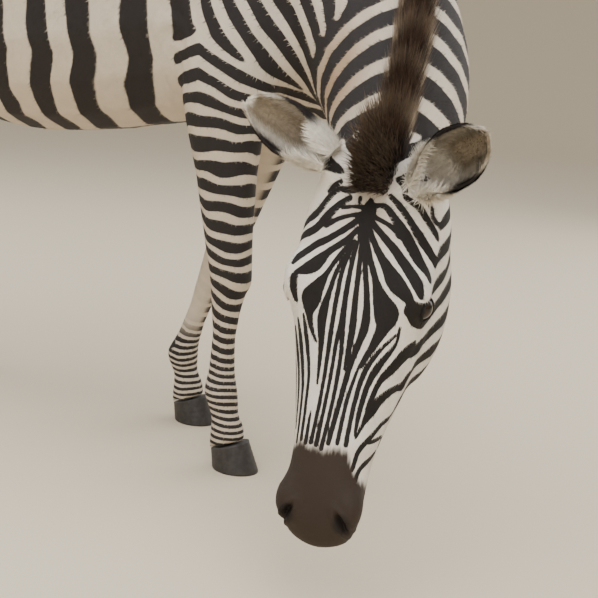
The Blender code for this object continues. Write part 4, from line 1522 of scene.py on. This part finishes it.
@dataclass
class Growth:
    """Blades grown over a surface by Geometry Nodes. They keep every mark of their roots."""

    name: str
    density: float
    width: float
    lift: float
    blade: Blade
    seed: int = 1
    mess: float = 0.12
    spread: float = 0.30

    def tree(self) -> Any:
        """The node tree, with a named input for each size.

        Returns:
            The tree.
        """
        made = bpy.data.node_groups.new(f"{self.name}_tree", "GeometryNodeTree")
        face = made.interface
        kinds = {"Surface": "Geometry", "Density": "Float", "Width": "Float", "Lift": "Float",
                 "Mess": "Float", "Spread": "Float", "Seed": "Int", "Blade": "Object",
                 "Material": "Material"}
        for label, kind in kinds.items():
            face.new_socket(name=label, in_out="INPUT", socket_type=f"NodeSocket{kind}")
        face.new_socket(name="Hair", in_out="OUTPUT", socket_type="NodeSocketGeometry")
        graph = Graph(made)
        entry = graph.add("NodeGroupInput")
        sockets = [entry.output(index) for index in range(len(kinds))]
        surface, density, width, lift, mess, spread, seed, blade, material = sockets

        def named(name: str, kind: str) -> Wire:
            """A mark of the surface or of the blade."""
            return graph.add("GeometryNodeInputNamedAttribute", {"data_type": kind}, {"Name": name})

        def random(low: float, high: float, offset: int) -> Wire:
            """A number that differs from blade to blade."""
            inputs = {2: low, 3: high, 8: seed + offset}
            return graph.add("FunctionNodeRandomValue", {"data_type": "FLOAT"}, inputs).output(1)

        scatter = graph.add(
            "GeometryNodeDistributePointsOnFaces",
            {"distribute_method": "RANDOM"},
            {"Mesh": surface, "Density": named("cover", "FLOAT") * density, "Seed": seed},
        )
        out = scatter.output(1)
        jitter = graph.add("FunctionNodeRandomValue", {"data_type": "FLOAT_VECTOR"},
                           {0: (-1.0, -1.0, -1.0), 1: (1.0, 1.0, 1.0), 8: seed})
        way = graph.vector("ADD", named("lie", "FLOAT_VECTOR"), graph.scaled(out, lift * random(0.5, 1.5, 3)))
        way = graph.vector("ADD", way, graph.scaled(jitter, mess))
        turn = graph.add("FunctionNodeAxesToRotation", {"primary_axis": "Y", "secondary_axis": "Z"},
                         {0: way, 1: out})
        long = named("hair", "FLOAT") * (1.0 + random(-1.0, 1.0, 5) * spread)
        wide = width * random(0.7, 1.3, 7)
        size = graph.add("ShaderNodeCombineXYZ", inputs={0: wide, 1: long, 2: long})
        source = graph.add("GeometryNodeObjectInfo", {"transform_space": "ORIGINAL"},
                           {"Object": blade}).output(4)
        placed = graph.add(
            "GeometryNodeInstanceOnPoints",
            inputs={"Points": scatter, "Instance": source, "Rotation": turn, "Scale": size},
        )
        real = graph.add("GeometryNodeRealizeInstances", inputs={0: placed})
        spot = graph.vector("ADD", named("OFBake", "FLOAT_VECTOR"),
                            graph.scaled(named("patch", "FLOAT_VECTOR"), PATCH_SIZE))
        mapped = graph.add(
            "GeometryNodeStoreNamedAttribute",
            {"data_type": "FLOAT2", "domain": "CORNER"},
            {"Geometry": real, "Name": "OFBake", "Value": spot},
        )
        dressed = graph.add("GeometryNodeSetMaterial", inputs={"Geometry": mapped, "Material": material})
        graph.add("NodeGroupOutput", inputs={0: dressed})
        return made

    def grow(self, surface: Any, material: Any, keep: Callable[[Array], Array] | None = None) -> Any:
        """Grows the blades.

        Args:
            surface: The object that they grow from. It isn't changed.
            material: What the blades are made of.
            keep: A test on the roots' places, for growing on one area only.

        Returns:
            The hair as a plain mesh object.
        """
        host = bpy.data.objects.new(f"{self.name}_host", surface.data.copy())
        bpy.context.scene.collection.objects.link(host)
        if keep is not None:
            cover = np.empty(len(host.data.vertices), np.float32)
            host.data.attributes["cover"].data.foreach_get("value", cover)
            cover = cover * keep(vertices(host.data))
            host.data.attributes["cover"].data.foreach_set("value", cover.astype(np.float32))
        blade = self.blade.build(f"{self.name}_blade")
        blade.hide_render = True
        values = {
            "Density": self.density * 1.0,
            "Width": self.width,
            "Lift": self.lift,
            "Mess": self.mess,
            "Spread": self.spread,
            "Seed": self.seed,
            "Blade": blade,
            "Material": material,
        }
        modifier = host.modifiers.new("grow", "NODES")
        modifier.node_group = self.tree()
        for item in modifier.node_group.interface.items_tree:
            if item.item_type == "SOCKET" and item.in_out == "INPUT" and item.name in values:
                modifier[item.identifier] = values[item.name]
        hair = evaluated_copy(host, self.name)
        bpy.data.objects.remove(blade)
        LOG.info("%s: %d faces", self.name, len(hair.data.polygons))
        return hair


# ---- ears


@dataclass
class Ear:
    """One ear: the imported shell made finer, painted and haired."""

    side: str
    anatomy: Anatomy
    rim: Colour = srgb(38, 32, 30)
    inner: Colour = srgb(150, 137, 118)
    back: Colour = srgb(236, 230, 218)

    def build(self) -> list[Any]:
        """Makes the ear.

        Returns:
            Its skin and its hair.
        """
        node = f"ear_{self.side}"
        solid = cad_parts[node]
        shell = mesh_object(f"ear_skin_{self.side}", points_of(node),
                            [list(face.vertices) for face in solid.data.polygons])
        work = bmesh.new()
        work.from_mesh(shell.data)
        bmesh.ops.remove_doubles(work, verts=work.verts, dist=1e-6)
        for _ in range(2):
            bmesh.ops.subdivide_edges(work, edges=work.edges, cuts=1, use_grid_fill=True)
        bmesh.ops.recalc_face_normals(work, faces=work.faces)
        work.to_mesh(shell.data)
        work.free()
        mesh = shell.data
        move_to(mesh, evened(vertices(mesh), edge_pairs(mesh), 3))
        points, out = vertices(mesh), normals(mesh)
        root, tip, width_way, inside = self.axes(points)
        way = unit(tip - root)
        tall = np.linalg.norm(tip - root)
        along = (points - root) @ way / tall
        centre = points.mean(0)
        wide = (points - centre) @ width_way
        half = np.array([max(np.abs(wide[np.abs(along - value) < 0.08]).max(initial=0.01), 0.01)
                         for value in along])
        across = wide / half
        facing_in = smooth(out @ inside, -0.1, 0.35)
        self.paint(mesh, along, across, facing_in, points)
        lie = way + 0.35 * width_way * across[:, None]
        lie = np.where(facing_in[:, None] > 0.5, way - 0.9 * width_way * across[:, None], lie)
        give(mesh, "lie", unit(lie - out * (lie * out).sum(1, keepdims=True)))
        base = smooth(along, 0.45, 0.0)
        fringe = smooth(np.abs(across), 0.30, 0.60) * smooth(np.abs(across), 0.85, 0.70) * facing_in
        give(mesh, "hair", 0.0045 + 0.010 * fringe + 0.018 * base)
        give(mesh, "cover", 1.0 + 0.6 * smooth(np.abs(across), 0.7, 1.0))
        give(mesh, "tip", along * 0)
        corners = corner_points(mesh)
        shift = np.where(facing_in > 0.5, 0.25, 0.75)
        owner = np.repeat([face.vertices[0] for face in mesh.polygons],
                          [face.loop_total for face in mesh.polygons])
        u = shift[owner] + np.clip(across[corners], -1, 1) * 0.22
        give_map(mesh, np.stack([u, 0.03 + 0.94 * np.clip(along[corners], 0, 1)], axis=1))
        mesh.shade_smooth()
        finish = HairFinish(f"ear_hair_{self.side}", tipping=0.0, roughness=0.8).build()
        mesh.materials.append(finish)
        hair = Growth(f"ear_coat_{self.side}", 420000, 0.0011, 0.28, Blade(2), seed=11,
                      mess=0.25).grow(shell, finish)
        for piece in (shell, hair):
            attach(piece, BODY)
            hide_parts(node)
        return [shell, hair]

    def axes(self, points: Array) -> tuple[Array, Array, Array, Array]:
        """The ear's own axes.

        Args:
            points: Its corner points.

        Returns:
            Its root, its tip, the way across it, and the way that it opens.
        """
        head = self.anatomy.head
        side = -1.0 if self.side == "right" else 1.0
        root = head.world(side * 0.068, 0.015, 0.022)
        tip = points[np.linalg.norm(points - root, axis=1).argmax()]
        way = unit(tip - root)
        inside = np.array([-0.86, -0.20, -0.10]) if self.side == "right" else np.array([-0.86, 0.20, -0.30])
        inside = unit(inside - way * (inside @ way))
        return root, tip, np.cross(way, inside), inside

    def paint(self, mesh: Any, along: Array, across: Array, facing_in: Array, points: Array) -> None:
        """Paints a dark rim, a pale inside, and a white back with one dark band.

        Args:
            mesh: The ear's mesh, which gets the paint.
            along: How far each point is from the root, from 0 to 1.
            across: How far it is from the middle, from -1 to 1.
            facing_in: Whether it faces the opening, from 0 to 1.
            points: The places of the points.
        """
        edge = smooth(np.abs(across), 0.76, 0.88) * smooth(along, 0.22, 0.40)
        pale = (smooth(along, 0.40, 0.15) + 0.45 * smooth(np.abs(across), 0.50, 0.72))[:, None].clip(0, 1)
        inside = np.array(self.inner[:3]) * (1 - pale) + np.array(self.back[:3]) * pale
        band = bump_at(along - 0.72, 0.14)[:, None]
        outside = np.array(self.back[:3]) * (1 - band) + np.array(self.rim[:3]) * band
        colour = inside * facing_in[:, None] + outside * (1 - facing_in[:, None])
        colour = colour * (1 - edge[:, None]) + np.array(self.rim[:3]) * edge[:, None]
        white = smooth(along, 0.90, 0.97)[:, None] * (1.0 if self.side == "right" else 0.0)
        colour = colour * (1 - white) + np.array(self.back[:3]) * white
        give(mesh, "paint", colour * (1 + 0.10 * drift(points, 60.0, 2.0))[:, None])


# ---- mane, forelock and tail


# Where standing hair grows: foot, up, across, height and thickness.
Station = tuple[Array, Array, Array, float, float]


@dataclass
class Ridge:
    """A strip that long hair stands on, over (foot, up, across, height, thickness) stations."""

    name: str
    stations: list[Station]
    fan: float = 0.30
    columns: int = 7

    def build(self, paint: Callable[[float, float], Array]) -> Any:
        """Makes the strip.

        Args:
            paint: The root colour at (share along, share across).

        Returns:
            The strip, with the marks that hair needs.
        """
        points, lies, lengths, colours, maps = [], [], [], [], []
        last = len(self.stations) - 1
        for row, (foot, up, across, height, thickness) in enumerate(self.stations):
            for column in range(self.columns):
                place = column / (self.columns - 1) * 2 - 1
                points.append(foot + across * place * thickness * 0.42 - up * 0.006 * place * place)
                lies.append(unit(up + across * place * self.fan))
                lengths.append(height * (1 - 0.16 * place * place))
                colours.append(paint(row / last, place))
                maps.append((0.03 + 0.94 * row / last, 0.08 + 0.84 * (place + 1) / 2))
        faces = []
        for row in range(last):
            for column in range(self.columns - 1):
                corner = row * self.columns + column
                faces.append((corner, corner + 1, corner + self.columns + 1, corner + self.columns))
        made = mesh_object(self.name, np.array(points), faces)
        give_hair_marks(made.data, lies, lengths, colours, maps)
        return made


@dataclass
class Mane:
    """The upright mane from withers to poll, and the forelock."""

    anatomy: Anatomy
    height: float = 0.105
    thickness: float = 0.046
    dark: Colour = srgb(46, 35, 31)
    pale: Colour = srgb(196, 180, 158)

    def crest_height(self, share: float) -> float:
        """How far the crest lies above the neck's middle line."""
        places = [0.0, 0.18, 0.36, 0.54, 0.72, 0.88, 1.0]
        return float(np.interp(share, places, [0.190, 0.212, 0.186, 0.160, 0.140, 0.122, 0.102]))

    def build(self) -> list[Any]:
        """Makes the mane and the forelock.

        Returns:
            The pieces.
        """
        stations = []
        for share in np.linspace(0.0, 1.0, 60):
            centre, _, side, crest = self.anatomy.neck.at(float(share))
            height = self.height * min(1.0, 0.25 + 2.2 * share) * (1 - 0.12 * share)
            foot = centre + crest * (self.crest_height(float(share)) - 0.010)
            stations.append((foot, crest, side, height + 0.006, self.thickness * (1 + 0.15 * share)))
        finish = HairFinish("mane_hair").build()

        def striped(share: float, place: float) -> Array:
            """The neck's stripes carried into the roots."""
            wave = math.cos(2 * math.pi * (share - Markings.neck_first) / Markings.neck_pitch)
            pale = float(smooth(np.array(wave), 0.15, -0.45)) * (0.35 + 0.65 * abs(place))
            return np.array(self.dark[:3]) * (1 - pale) + np.array(self.pale[:3]) * pale

        strip = Ridge("mane_strip", stations, fan=0.07).build(striped)
        mane = Growth("mane_hair", 380000, 0.0022, 0.0, Blade(5, 0.04), seed=3, mess=0.11,
                      spread=0.10).grow(strip, finish)
        bpy.data.objects.remove(strip)
        head = self.anatomy.head
        tuft = []
        for share in np.linspace(0.0, 1.0, 24):
            foot = head.world(0.006, -0.035 + 0.088 * share, 0.034 - 0.024 * share)
            up = unit(-head.below - head.along * (0.45 - 0.55 * share))
            height = self.height * (0.88 - 0.34 * share * share)
            tuft.append((foot, up, head.left, height,
                         self.thickness * (1.08 + 0.34 * math.sin(math.pi * share))))
        roots = np.array(self.dark[:3]) * 1.1
        strip = Ridge("forelock_strip", tuft, fan=0.16).build(lambda share, place: roots)
        frosted = HairFinish("forelock_hair", tip=srgb(150, 130, 108)).build()
        forelock = Growth("forelock_hair", 760000, 0.0015, 0.0, Blade(5, 0.10), seed=5, mess=0.15,
                          spread=0.10).grow(strip, frosted)
        bpy.data.objects.remove(strip)
        cores = [self.core("mane_core", stations, 0.74), self.core("forelock_core", tuft, 0.55)]
        for piece, node in zip((mane, forelock, *cores), ("mane", "forelock") * 2):
            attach(piece, BODY)
            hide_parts(node)
        return [mane, forelock, *cores]

    def core(self, name: str, stations: list[Station], tall: float) -> Any:
        """The dense dark heart of standing hair, which fills the gaps between locks.

        Args:
            name: The piece's name.
            stations: Where the hair stands.
            tall: Its share of the hair's height.

        Returns:
            The core as an object.
        """
        outline = [(-0.8, -0.10), (-0.78, 0.40), (-0.45, 0.80), (0.0, 1.0), (0.45, 0.80), (0.78, 0.40),
                   (0.8, -0.10)]
        count = len(outline)
        points = []
        for row, (foot, up, across, height, thickness) in enumerate(stations):
            for u, v in outline:
                ragged = 1 + 0.10 * math.sin(row * 2.4) * v
                points.append(foot + across * u * thickness * 0.34 + up * v * height * tall * ragged)
        faces = tube_faces(len(stations), count)
        faces.append(tuple(range(count))[::-1])
        faces.append(tuple(len(points) - count + step for step in range(count)))
        made = mesh_object(name, np.array(points), faces,
                           PlainFinish(f"{name}_dark", self.dark, 0.9, bump=0.6, grain=220.0).build())
        face_outward(made.data)
        return made


@dataclass
class Tail:
    """The dark switch at the end of the tail."""

    anatomy: Anatomy
    dark: Colour = srgb(40, 33, 30)
    pale: Colour = srgb(190, 176, 156)

    def build(self) -> list[Any]:
        """Makes the switch.

        Returns:
            The pieces.
        """
        low, high = (np.array(corner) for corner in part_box("tail_tuft"))
        middle = (low + high) / 2
        points, lies, lengths, colours, maps = [], [], [], [], []
        rows, columns = 20, 16
        for row in range(rows + 1):
            share = row / rows
            z = high[2] + 0.050 - share * 0.190
            radius = 0.017 * (1 - 0.55 * share)
            for column in range(columns + 1):
                angle = 2 * math.pi * column / columns
                out = np.array([math.cos(angle), math.sin(angle), 0.0])
                points.append(np.array([middle[0], middle[1], z]) + out * radius)
                lies.append(unit(np.array([0.0, 0.0, -1.0]) + out * (0.10 + 0.05 * share)))
                lengths.append(0.10 + 0.135 * min(1.0, share * 1.8))
                mixed = max(0.0, 1 - share * 3.0)
                colours.append(np.array(self.pale[:3]) * mixed + np.array(self.dark[:3]) * (1 - mixed))
                maps.append((0.03 + 0.94 * column / columns, 0.03 + 0.94 * share))
        faces = []
        for row in range(rows):
            for column in range(columns):
                corner = row * (columns + 1) + column
                faces.append((corner, corner + columns + 1, corner + columns + 2, corner + 1))
        finish = HairFinish("tail_hair_finish").build()
        guide = mesh_object("tail_guide", np.array(points), faces, finish)
        give_hair_marks(guide.data, lies, lengths, colours, maps)
        hair = Growth("tail_hair", 170000, 0.0045, 0.0, Blade(6, 0.04), seed=8, mess=0.07,
                      spread=0.14).grow(guide, finish)
        bpy.data.objects.remove(guide)
        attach(hair, BODY)
        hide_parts("tail_tuft")
        return [hair]


# ---- hooves and eyes


@dataclass
class Hoof:
    """One horn hoof with growth rings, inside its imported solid's box."""

    name: str
    sides: int = 48
    levels: int = 16
    coronet_toe: float = 0.064
    coronet_heel: float = 0.036

    def build(self, material: Any) -> Any:
        """Makes the hoof.

        Args:
            material: The horn.

        Returns:
            The hoof object.
        """
        node = f"hoof_{self.name}"
        low, high = (np.array(corner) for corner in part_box(node))
        centre = (low + high) / 2
        half_wide, half_long = (high[0] - low[0]) / 2, 0.049
        points = []
        for level in range(self.levels + 1):
            share = level / self.levels
            size = 1.0 - 0.20 * share + 0.006 * math.sin(share * 34.0) * (share > 0.1)
            size = min(size, 1.0) * (0.985 if level == 0 else 1.0)
            shift = -0.016 * (1 - share)
            for step in range(self.sides):
                angle = 2 * math.pi * step / self.sides
                ahead = math.cos(angle)
                top = self.coronet_heel + (self.coronet_toe - self.coronet_heel) * (1 + ahead) / 2
                y = centre[1] + shift + 0.0060 - ahead * half_long * size
                points.append((centre[0] + math.sin(angle) * half_wide * size, y, top * share))
        faces = tube_faces(self.levels + 1, self.sides)
        faces.append(tuple(range(self.sides)))
        faces.append(tuple(len(points) - self.sides + step for step in range(self.sides)))
        made = mesh_object(f"hoof_horn_{self.name}", np.array(points), faces, material)
        face_outward(made.data)
        made.data.shade_smooth()
        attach(made, BODY)
        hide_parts(node)
        return made


@dataclass(frozen=True)
class EyeFinish:
    """The wet ball: a dark brown iris, a long black pupil and a dark rim."""

    iris: Colour = srgb(46, 27, 17)
    rim: Colour = srgb(22, 15, 12)
    pupil: Colour = srgb(5, 5, 6)

    def build(self) -> Any:
        """The Blender material.

        Returns:
            The material.
        """
        made, graph, shader = new_material("eyeball")
        streaks = graph.noise(graph.attribute("spoke"), 9.0, 3.0)
        brown = graph.mix("RGBA", graph.ramp(streaks, 0.30, 0.70), self.rim, self.iris)
        brown = graph.mix("RGBA", graph.attribute("edge", number=True), brown, self.rim)
        colour = graph.mix("RGBA", graph.attribute("pupil", number=True), brown, self.pupil)
        graph.feed(shader, {"Base Color": colour, "Roughness": 0.22, "Specular IOR Level": 0.25})
        graph.feed(shader, {"Coat Weight": 0.25, "Coat Roughness": 0.04})
        return made


@dataclass
class Eye:
    """One eyeball, round and wet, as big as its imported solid."""

    side: str
    head: Head
    rings: int = 36
    sectors: int = 56
    cornea: float = 0.0009
    pupil_long: float = 0.0062
    pupil_tall: float = 0.0036
    iris_size: float = 0.0145

    def build(self) -> Any:
        """Makes the ball.

        Returns:
            The ball.
        """
        way = 1.0 if self.side == "left" else -1.0
        head = self.head
        node = f"eye_{self.side}"
        low, high = (np.array(corner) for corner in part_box(node))
        out = head.eye_facing(way)
        length = unit(head.along - out * (head.along @ out))
        up = np.cross(out, length)
        turn = np.linspace(0, 2 * math.pi, self.sectors, endpoint=False)
        tilt = np.linspace(0, math.pi, self.rings + 1)[1:-1]
        tilt, turn = (grid.ravel() for grid in np.meshgrid(tilt, turn, indexing="ij"))
        tilt, turn = np.concatenate([[0.0], tilt, [math.pi]]), np.concatenate([[0.0], turn, [0.0]])
        reach = head.eye_radius - self.cornea + self.cornea * bump_at(tilt, 0.75)
        x, y = np.sin(tilt) * np.cos(turn), np.sin(tilt) * np.sin(turn)
        ball = x[:, None] * length + y[:, None] * up + np.cos(tilt)[:, None] * out
        faces = []
        for step in range(self.sectors):
            after = (step + 1) % self.sectors
            faces.append((0, 1 + step, 1 + after))
            for ring in range(self.rings - 2):
                first = 1 + ring * self.sectors
                second = first + self.sectors
                faces.append((first + step, second + step, second + after, first + after))
            last = 1 + (self.rings - 2) * self.sectors
            faces.append((last + after, last + step, len(ball) - 1))
        made = mesh_object(f"eyeball_{self.side}", (low + high) / 2 + ball * reach[:, None], faces,
                           EyeFinish().build())
        mesh = made.data
        flat = np.hypot(x, y) * head.eye_radius
        ahead = np.cos(tilt) > 0
        hole = np.hypot(x * head.eye_radius / self.pupil_long, y * head.eye_radius / self.pupil_tall)
        give(mesh, "pupil", smooth(hole, 1.15, 0.9) * ahead)
        give(mesh, "edge", np.where(ahead, smooth(flat, self.iris_size * 0.82, self.iris_size), 1.0))
        give(mesh, "spoke", np.stack([np.cos(turn), np.sin(turn), flat * 12], axis=1))
        face_outward(mesh)
        mesh.shade_smooth()
        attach(made, BODY)
        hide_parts(node)
        return made


# ---- studio


@dataclass
class Studio:
    """Camera, soft light and a pale floor."""

    place: tuple[float, float, float] = (-1.7468, -1.2841, 0.7868)
    azimuth: float = -65.446
    drop: float = 11.919
    roll: float = 4.210
    lens: float = 63.2
    flat_reach: float = 12.0
    bend_radius: float = 6.0
    ground: Colour = srgb(216, 203, 180)

    def build(self) -> None:
        """Makes the camera, the lights and the floor."""
        view = bpy.data.cameras.new("camera")
        view.lens = self.lens
        view.sensor_width = 36.0
        camera = bpy.data.objects.new("camera", view)
        bpy.context.scene.collection.objects.link(camera)
        camera.location = self.place
        turn = Euler((math.radians(90 - self.drop), 0.0, math.radians(self.azimuth)), "XYZ").to_matrix()
        camera.rotation_euler = (turn @ Euler((0, 0, math.radians(self.roll)), "XYZ").to_matrix()).to_euler()
        bpy.context.scene.camera = camera
        for name, place, size, power in (
            ("sky", (-1.2, -0.6, 4.6), 6.0, 280.0),
            ("front", (-4.0, -2.9, 2.6), 4.0, 100.0),
            ("left", (3.8, -2.2, 2.4), 3.5, 70.0),
            ("back", (0.0, 4.6, 2.8), 4.0, 90.0),
        ):
            lamp = bpy.data.lights.new(name, "AREA")
            lamp.energy = power
            lamp.size = size
            made = bpy.data.objects.new(name, lamp)
            bpy.context.scene.collection.objects.link(made)
            made.location = place
            aim = Vector((-0.1, -0.2, 0.6)) - Vector(place)
            made.rotation_euler = aim.to_track_quat("-Z", "Y").to_euler()
        world = bpy.data.worlds.new("sky")
        world.use_nodes = True
        world.node_tree.nodes["Background"].inputs["Color"].default_value = (0.92, 0.90, 0.86, 1.0)
        world.node_tree.nodes["Background"].inputs["Strength"].default_value = 0.70
        bpy.context.scene.world = world
        floor = self.floor()

    def floor(self) -> Any:
        """A flat disc of floor whose far rim curves up into a backdrop.

        Returns:
            The floor.
        """
        bend = [(reach, 0.0) for reach in (0.0, 4.0, 8.0, self.flat_reach)]
        size = self.bend_radius
        bend += [(self.flat_reach + size * math.sin(turn), size - size * math.cos(turn))
                 for turn in np.linspace(0.15, 1.4, 14)]
        sides = 96
        points = [(0.0, 0.0, 0.0)]
        for reach, height in bend[1:]:
            angles = [2 * math.pi * step / sides for step in range(sides)]
            points += [(reach * math.cos(angle), reach * math.sin(angle), height) for angle in angles]
        faces = [(0, 1 + step, 1 + (step + 1) % sides) for step in range(sides)]
        for ring in range(len(bend) - 2):
            start = 1 + ring * sides
            for step in range(sides):
                after = (step + 1) % sides
                faces.append((start + step, start + sides + step, start + sides + after, start + after))
        made = mesh_object("floor", np.array(points), faces,
                           PlainFinish("floor", self.ground, 0.95, even=True).build())
        made.data.shade_smooth()
        return made


# ---- the animal


class Zebra:
    """The whole animal, built part by part."""

    def __init__(self) -> None:
        """Measures the solids and plans the stripes."""
        self.anatomy = Anatomy()
        self.markings = Markings(self.anatomy)

    def build(self) -> None:
        """Builds every piece in order."""
        skin = Skin(self.anatomy, self.markings).build()
        skin.data.materials.append(CoatFinish("skin_coat").build())
        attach(skin, BODY)
        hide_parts(*FLESH)
        self.grow_coat(skin)
        for side in ("right", "left"):
            Ear(side, self.anatomy).build()
            LOG.info("ear %s", side)
        Mane(self.anatomy).build()
        Tail(self.anatomy).build()
        horn = PlainFinish("horn", srgb(58, 54, 52), 0.55, bump=0.5, grain=90.0).build()
        for leg in LEGS:
            Hoof(leg).build(horn)
        LOG.info("hooves")
        for side in ("right", "left"):
            Eye(side, self.anatomy.head).build()
        LOG.info("eyes")

    def grow_coat(self, skin: Any) -> None:
        """Grows the short coat in four pieces.

        Args:
            skin: The marked skin that it grows from.
        """
        blades = CoatFinish("coat_blades", blades=True).build()

        def region_test(wanted: set[int]) -> Callable[[Array], Array]:
            """A test for roots in certain regions."""
            return lambda points: np.isin(self.anatomy.regions(points), list(wanted)).astype(float)

        for name, regions, density, width, seed in (
            ("coat_neck", {Region.NECK}, 60000, 0.0010, 20),
            ("coat_trunk", {Region.TRUNK, Region.DOCK}, 26500, 0.0013, 21),
            ("coat_head", {Region.HEAD}, 62000, 0.0007, 22),
            ("coat_legs", LEG_REGIONS, 44000, 0.0008, 23),
        ):
            growth = Growth(name, density, width, 0.10, Blade(2, 0.05), seed=seed, mess=0.10)
            coat = growth.grow(skin, blades, region_test(regions))
            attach(coat, BODY)


def main() -> None:
    """Builds the scene and writes down its size."""
    logging.basicConfig(level=logging.INFO, format="%(name)s: %(message)s")
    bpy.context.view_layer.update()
    Studio().build()
    Zebra().build()


if __name__ == "__main__":
    main()
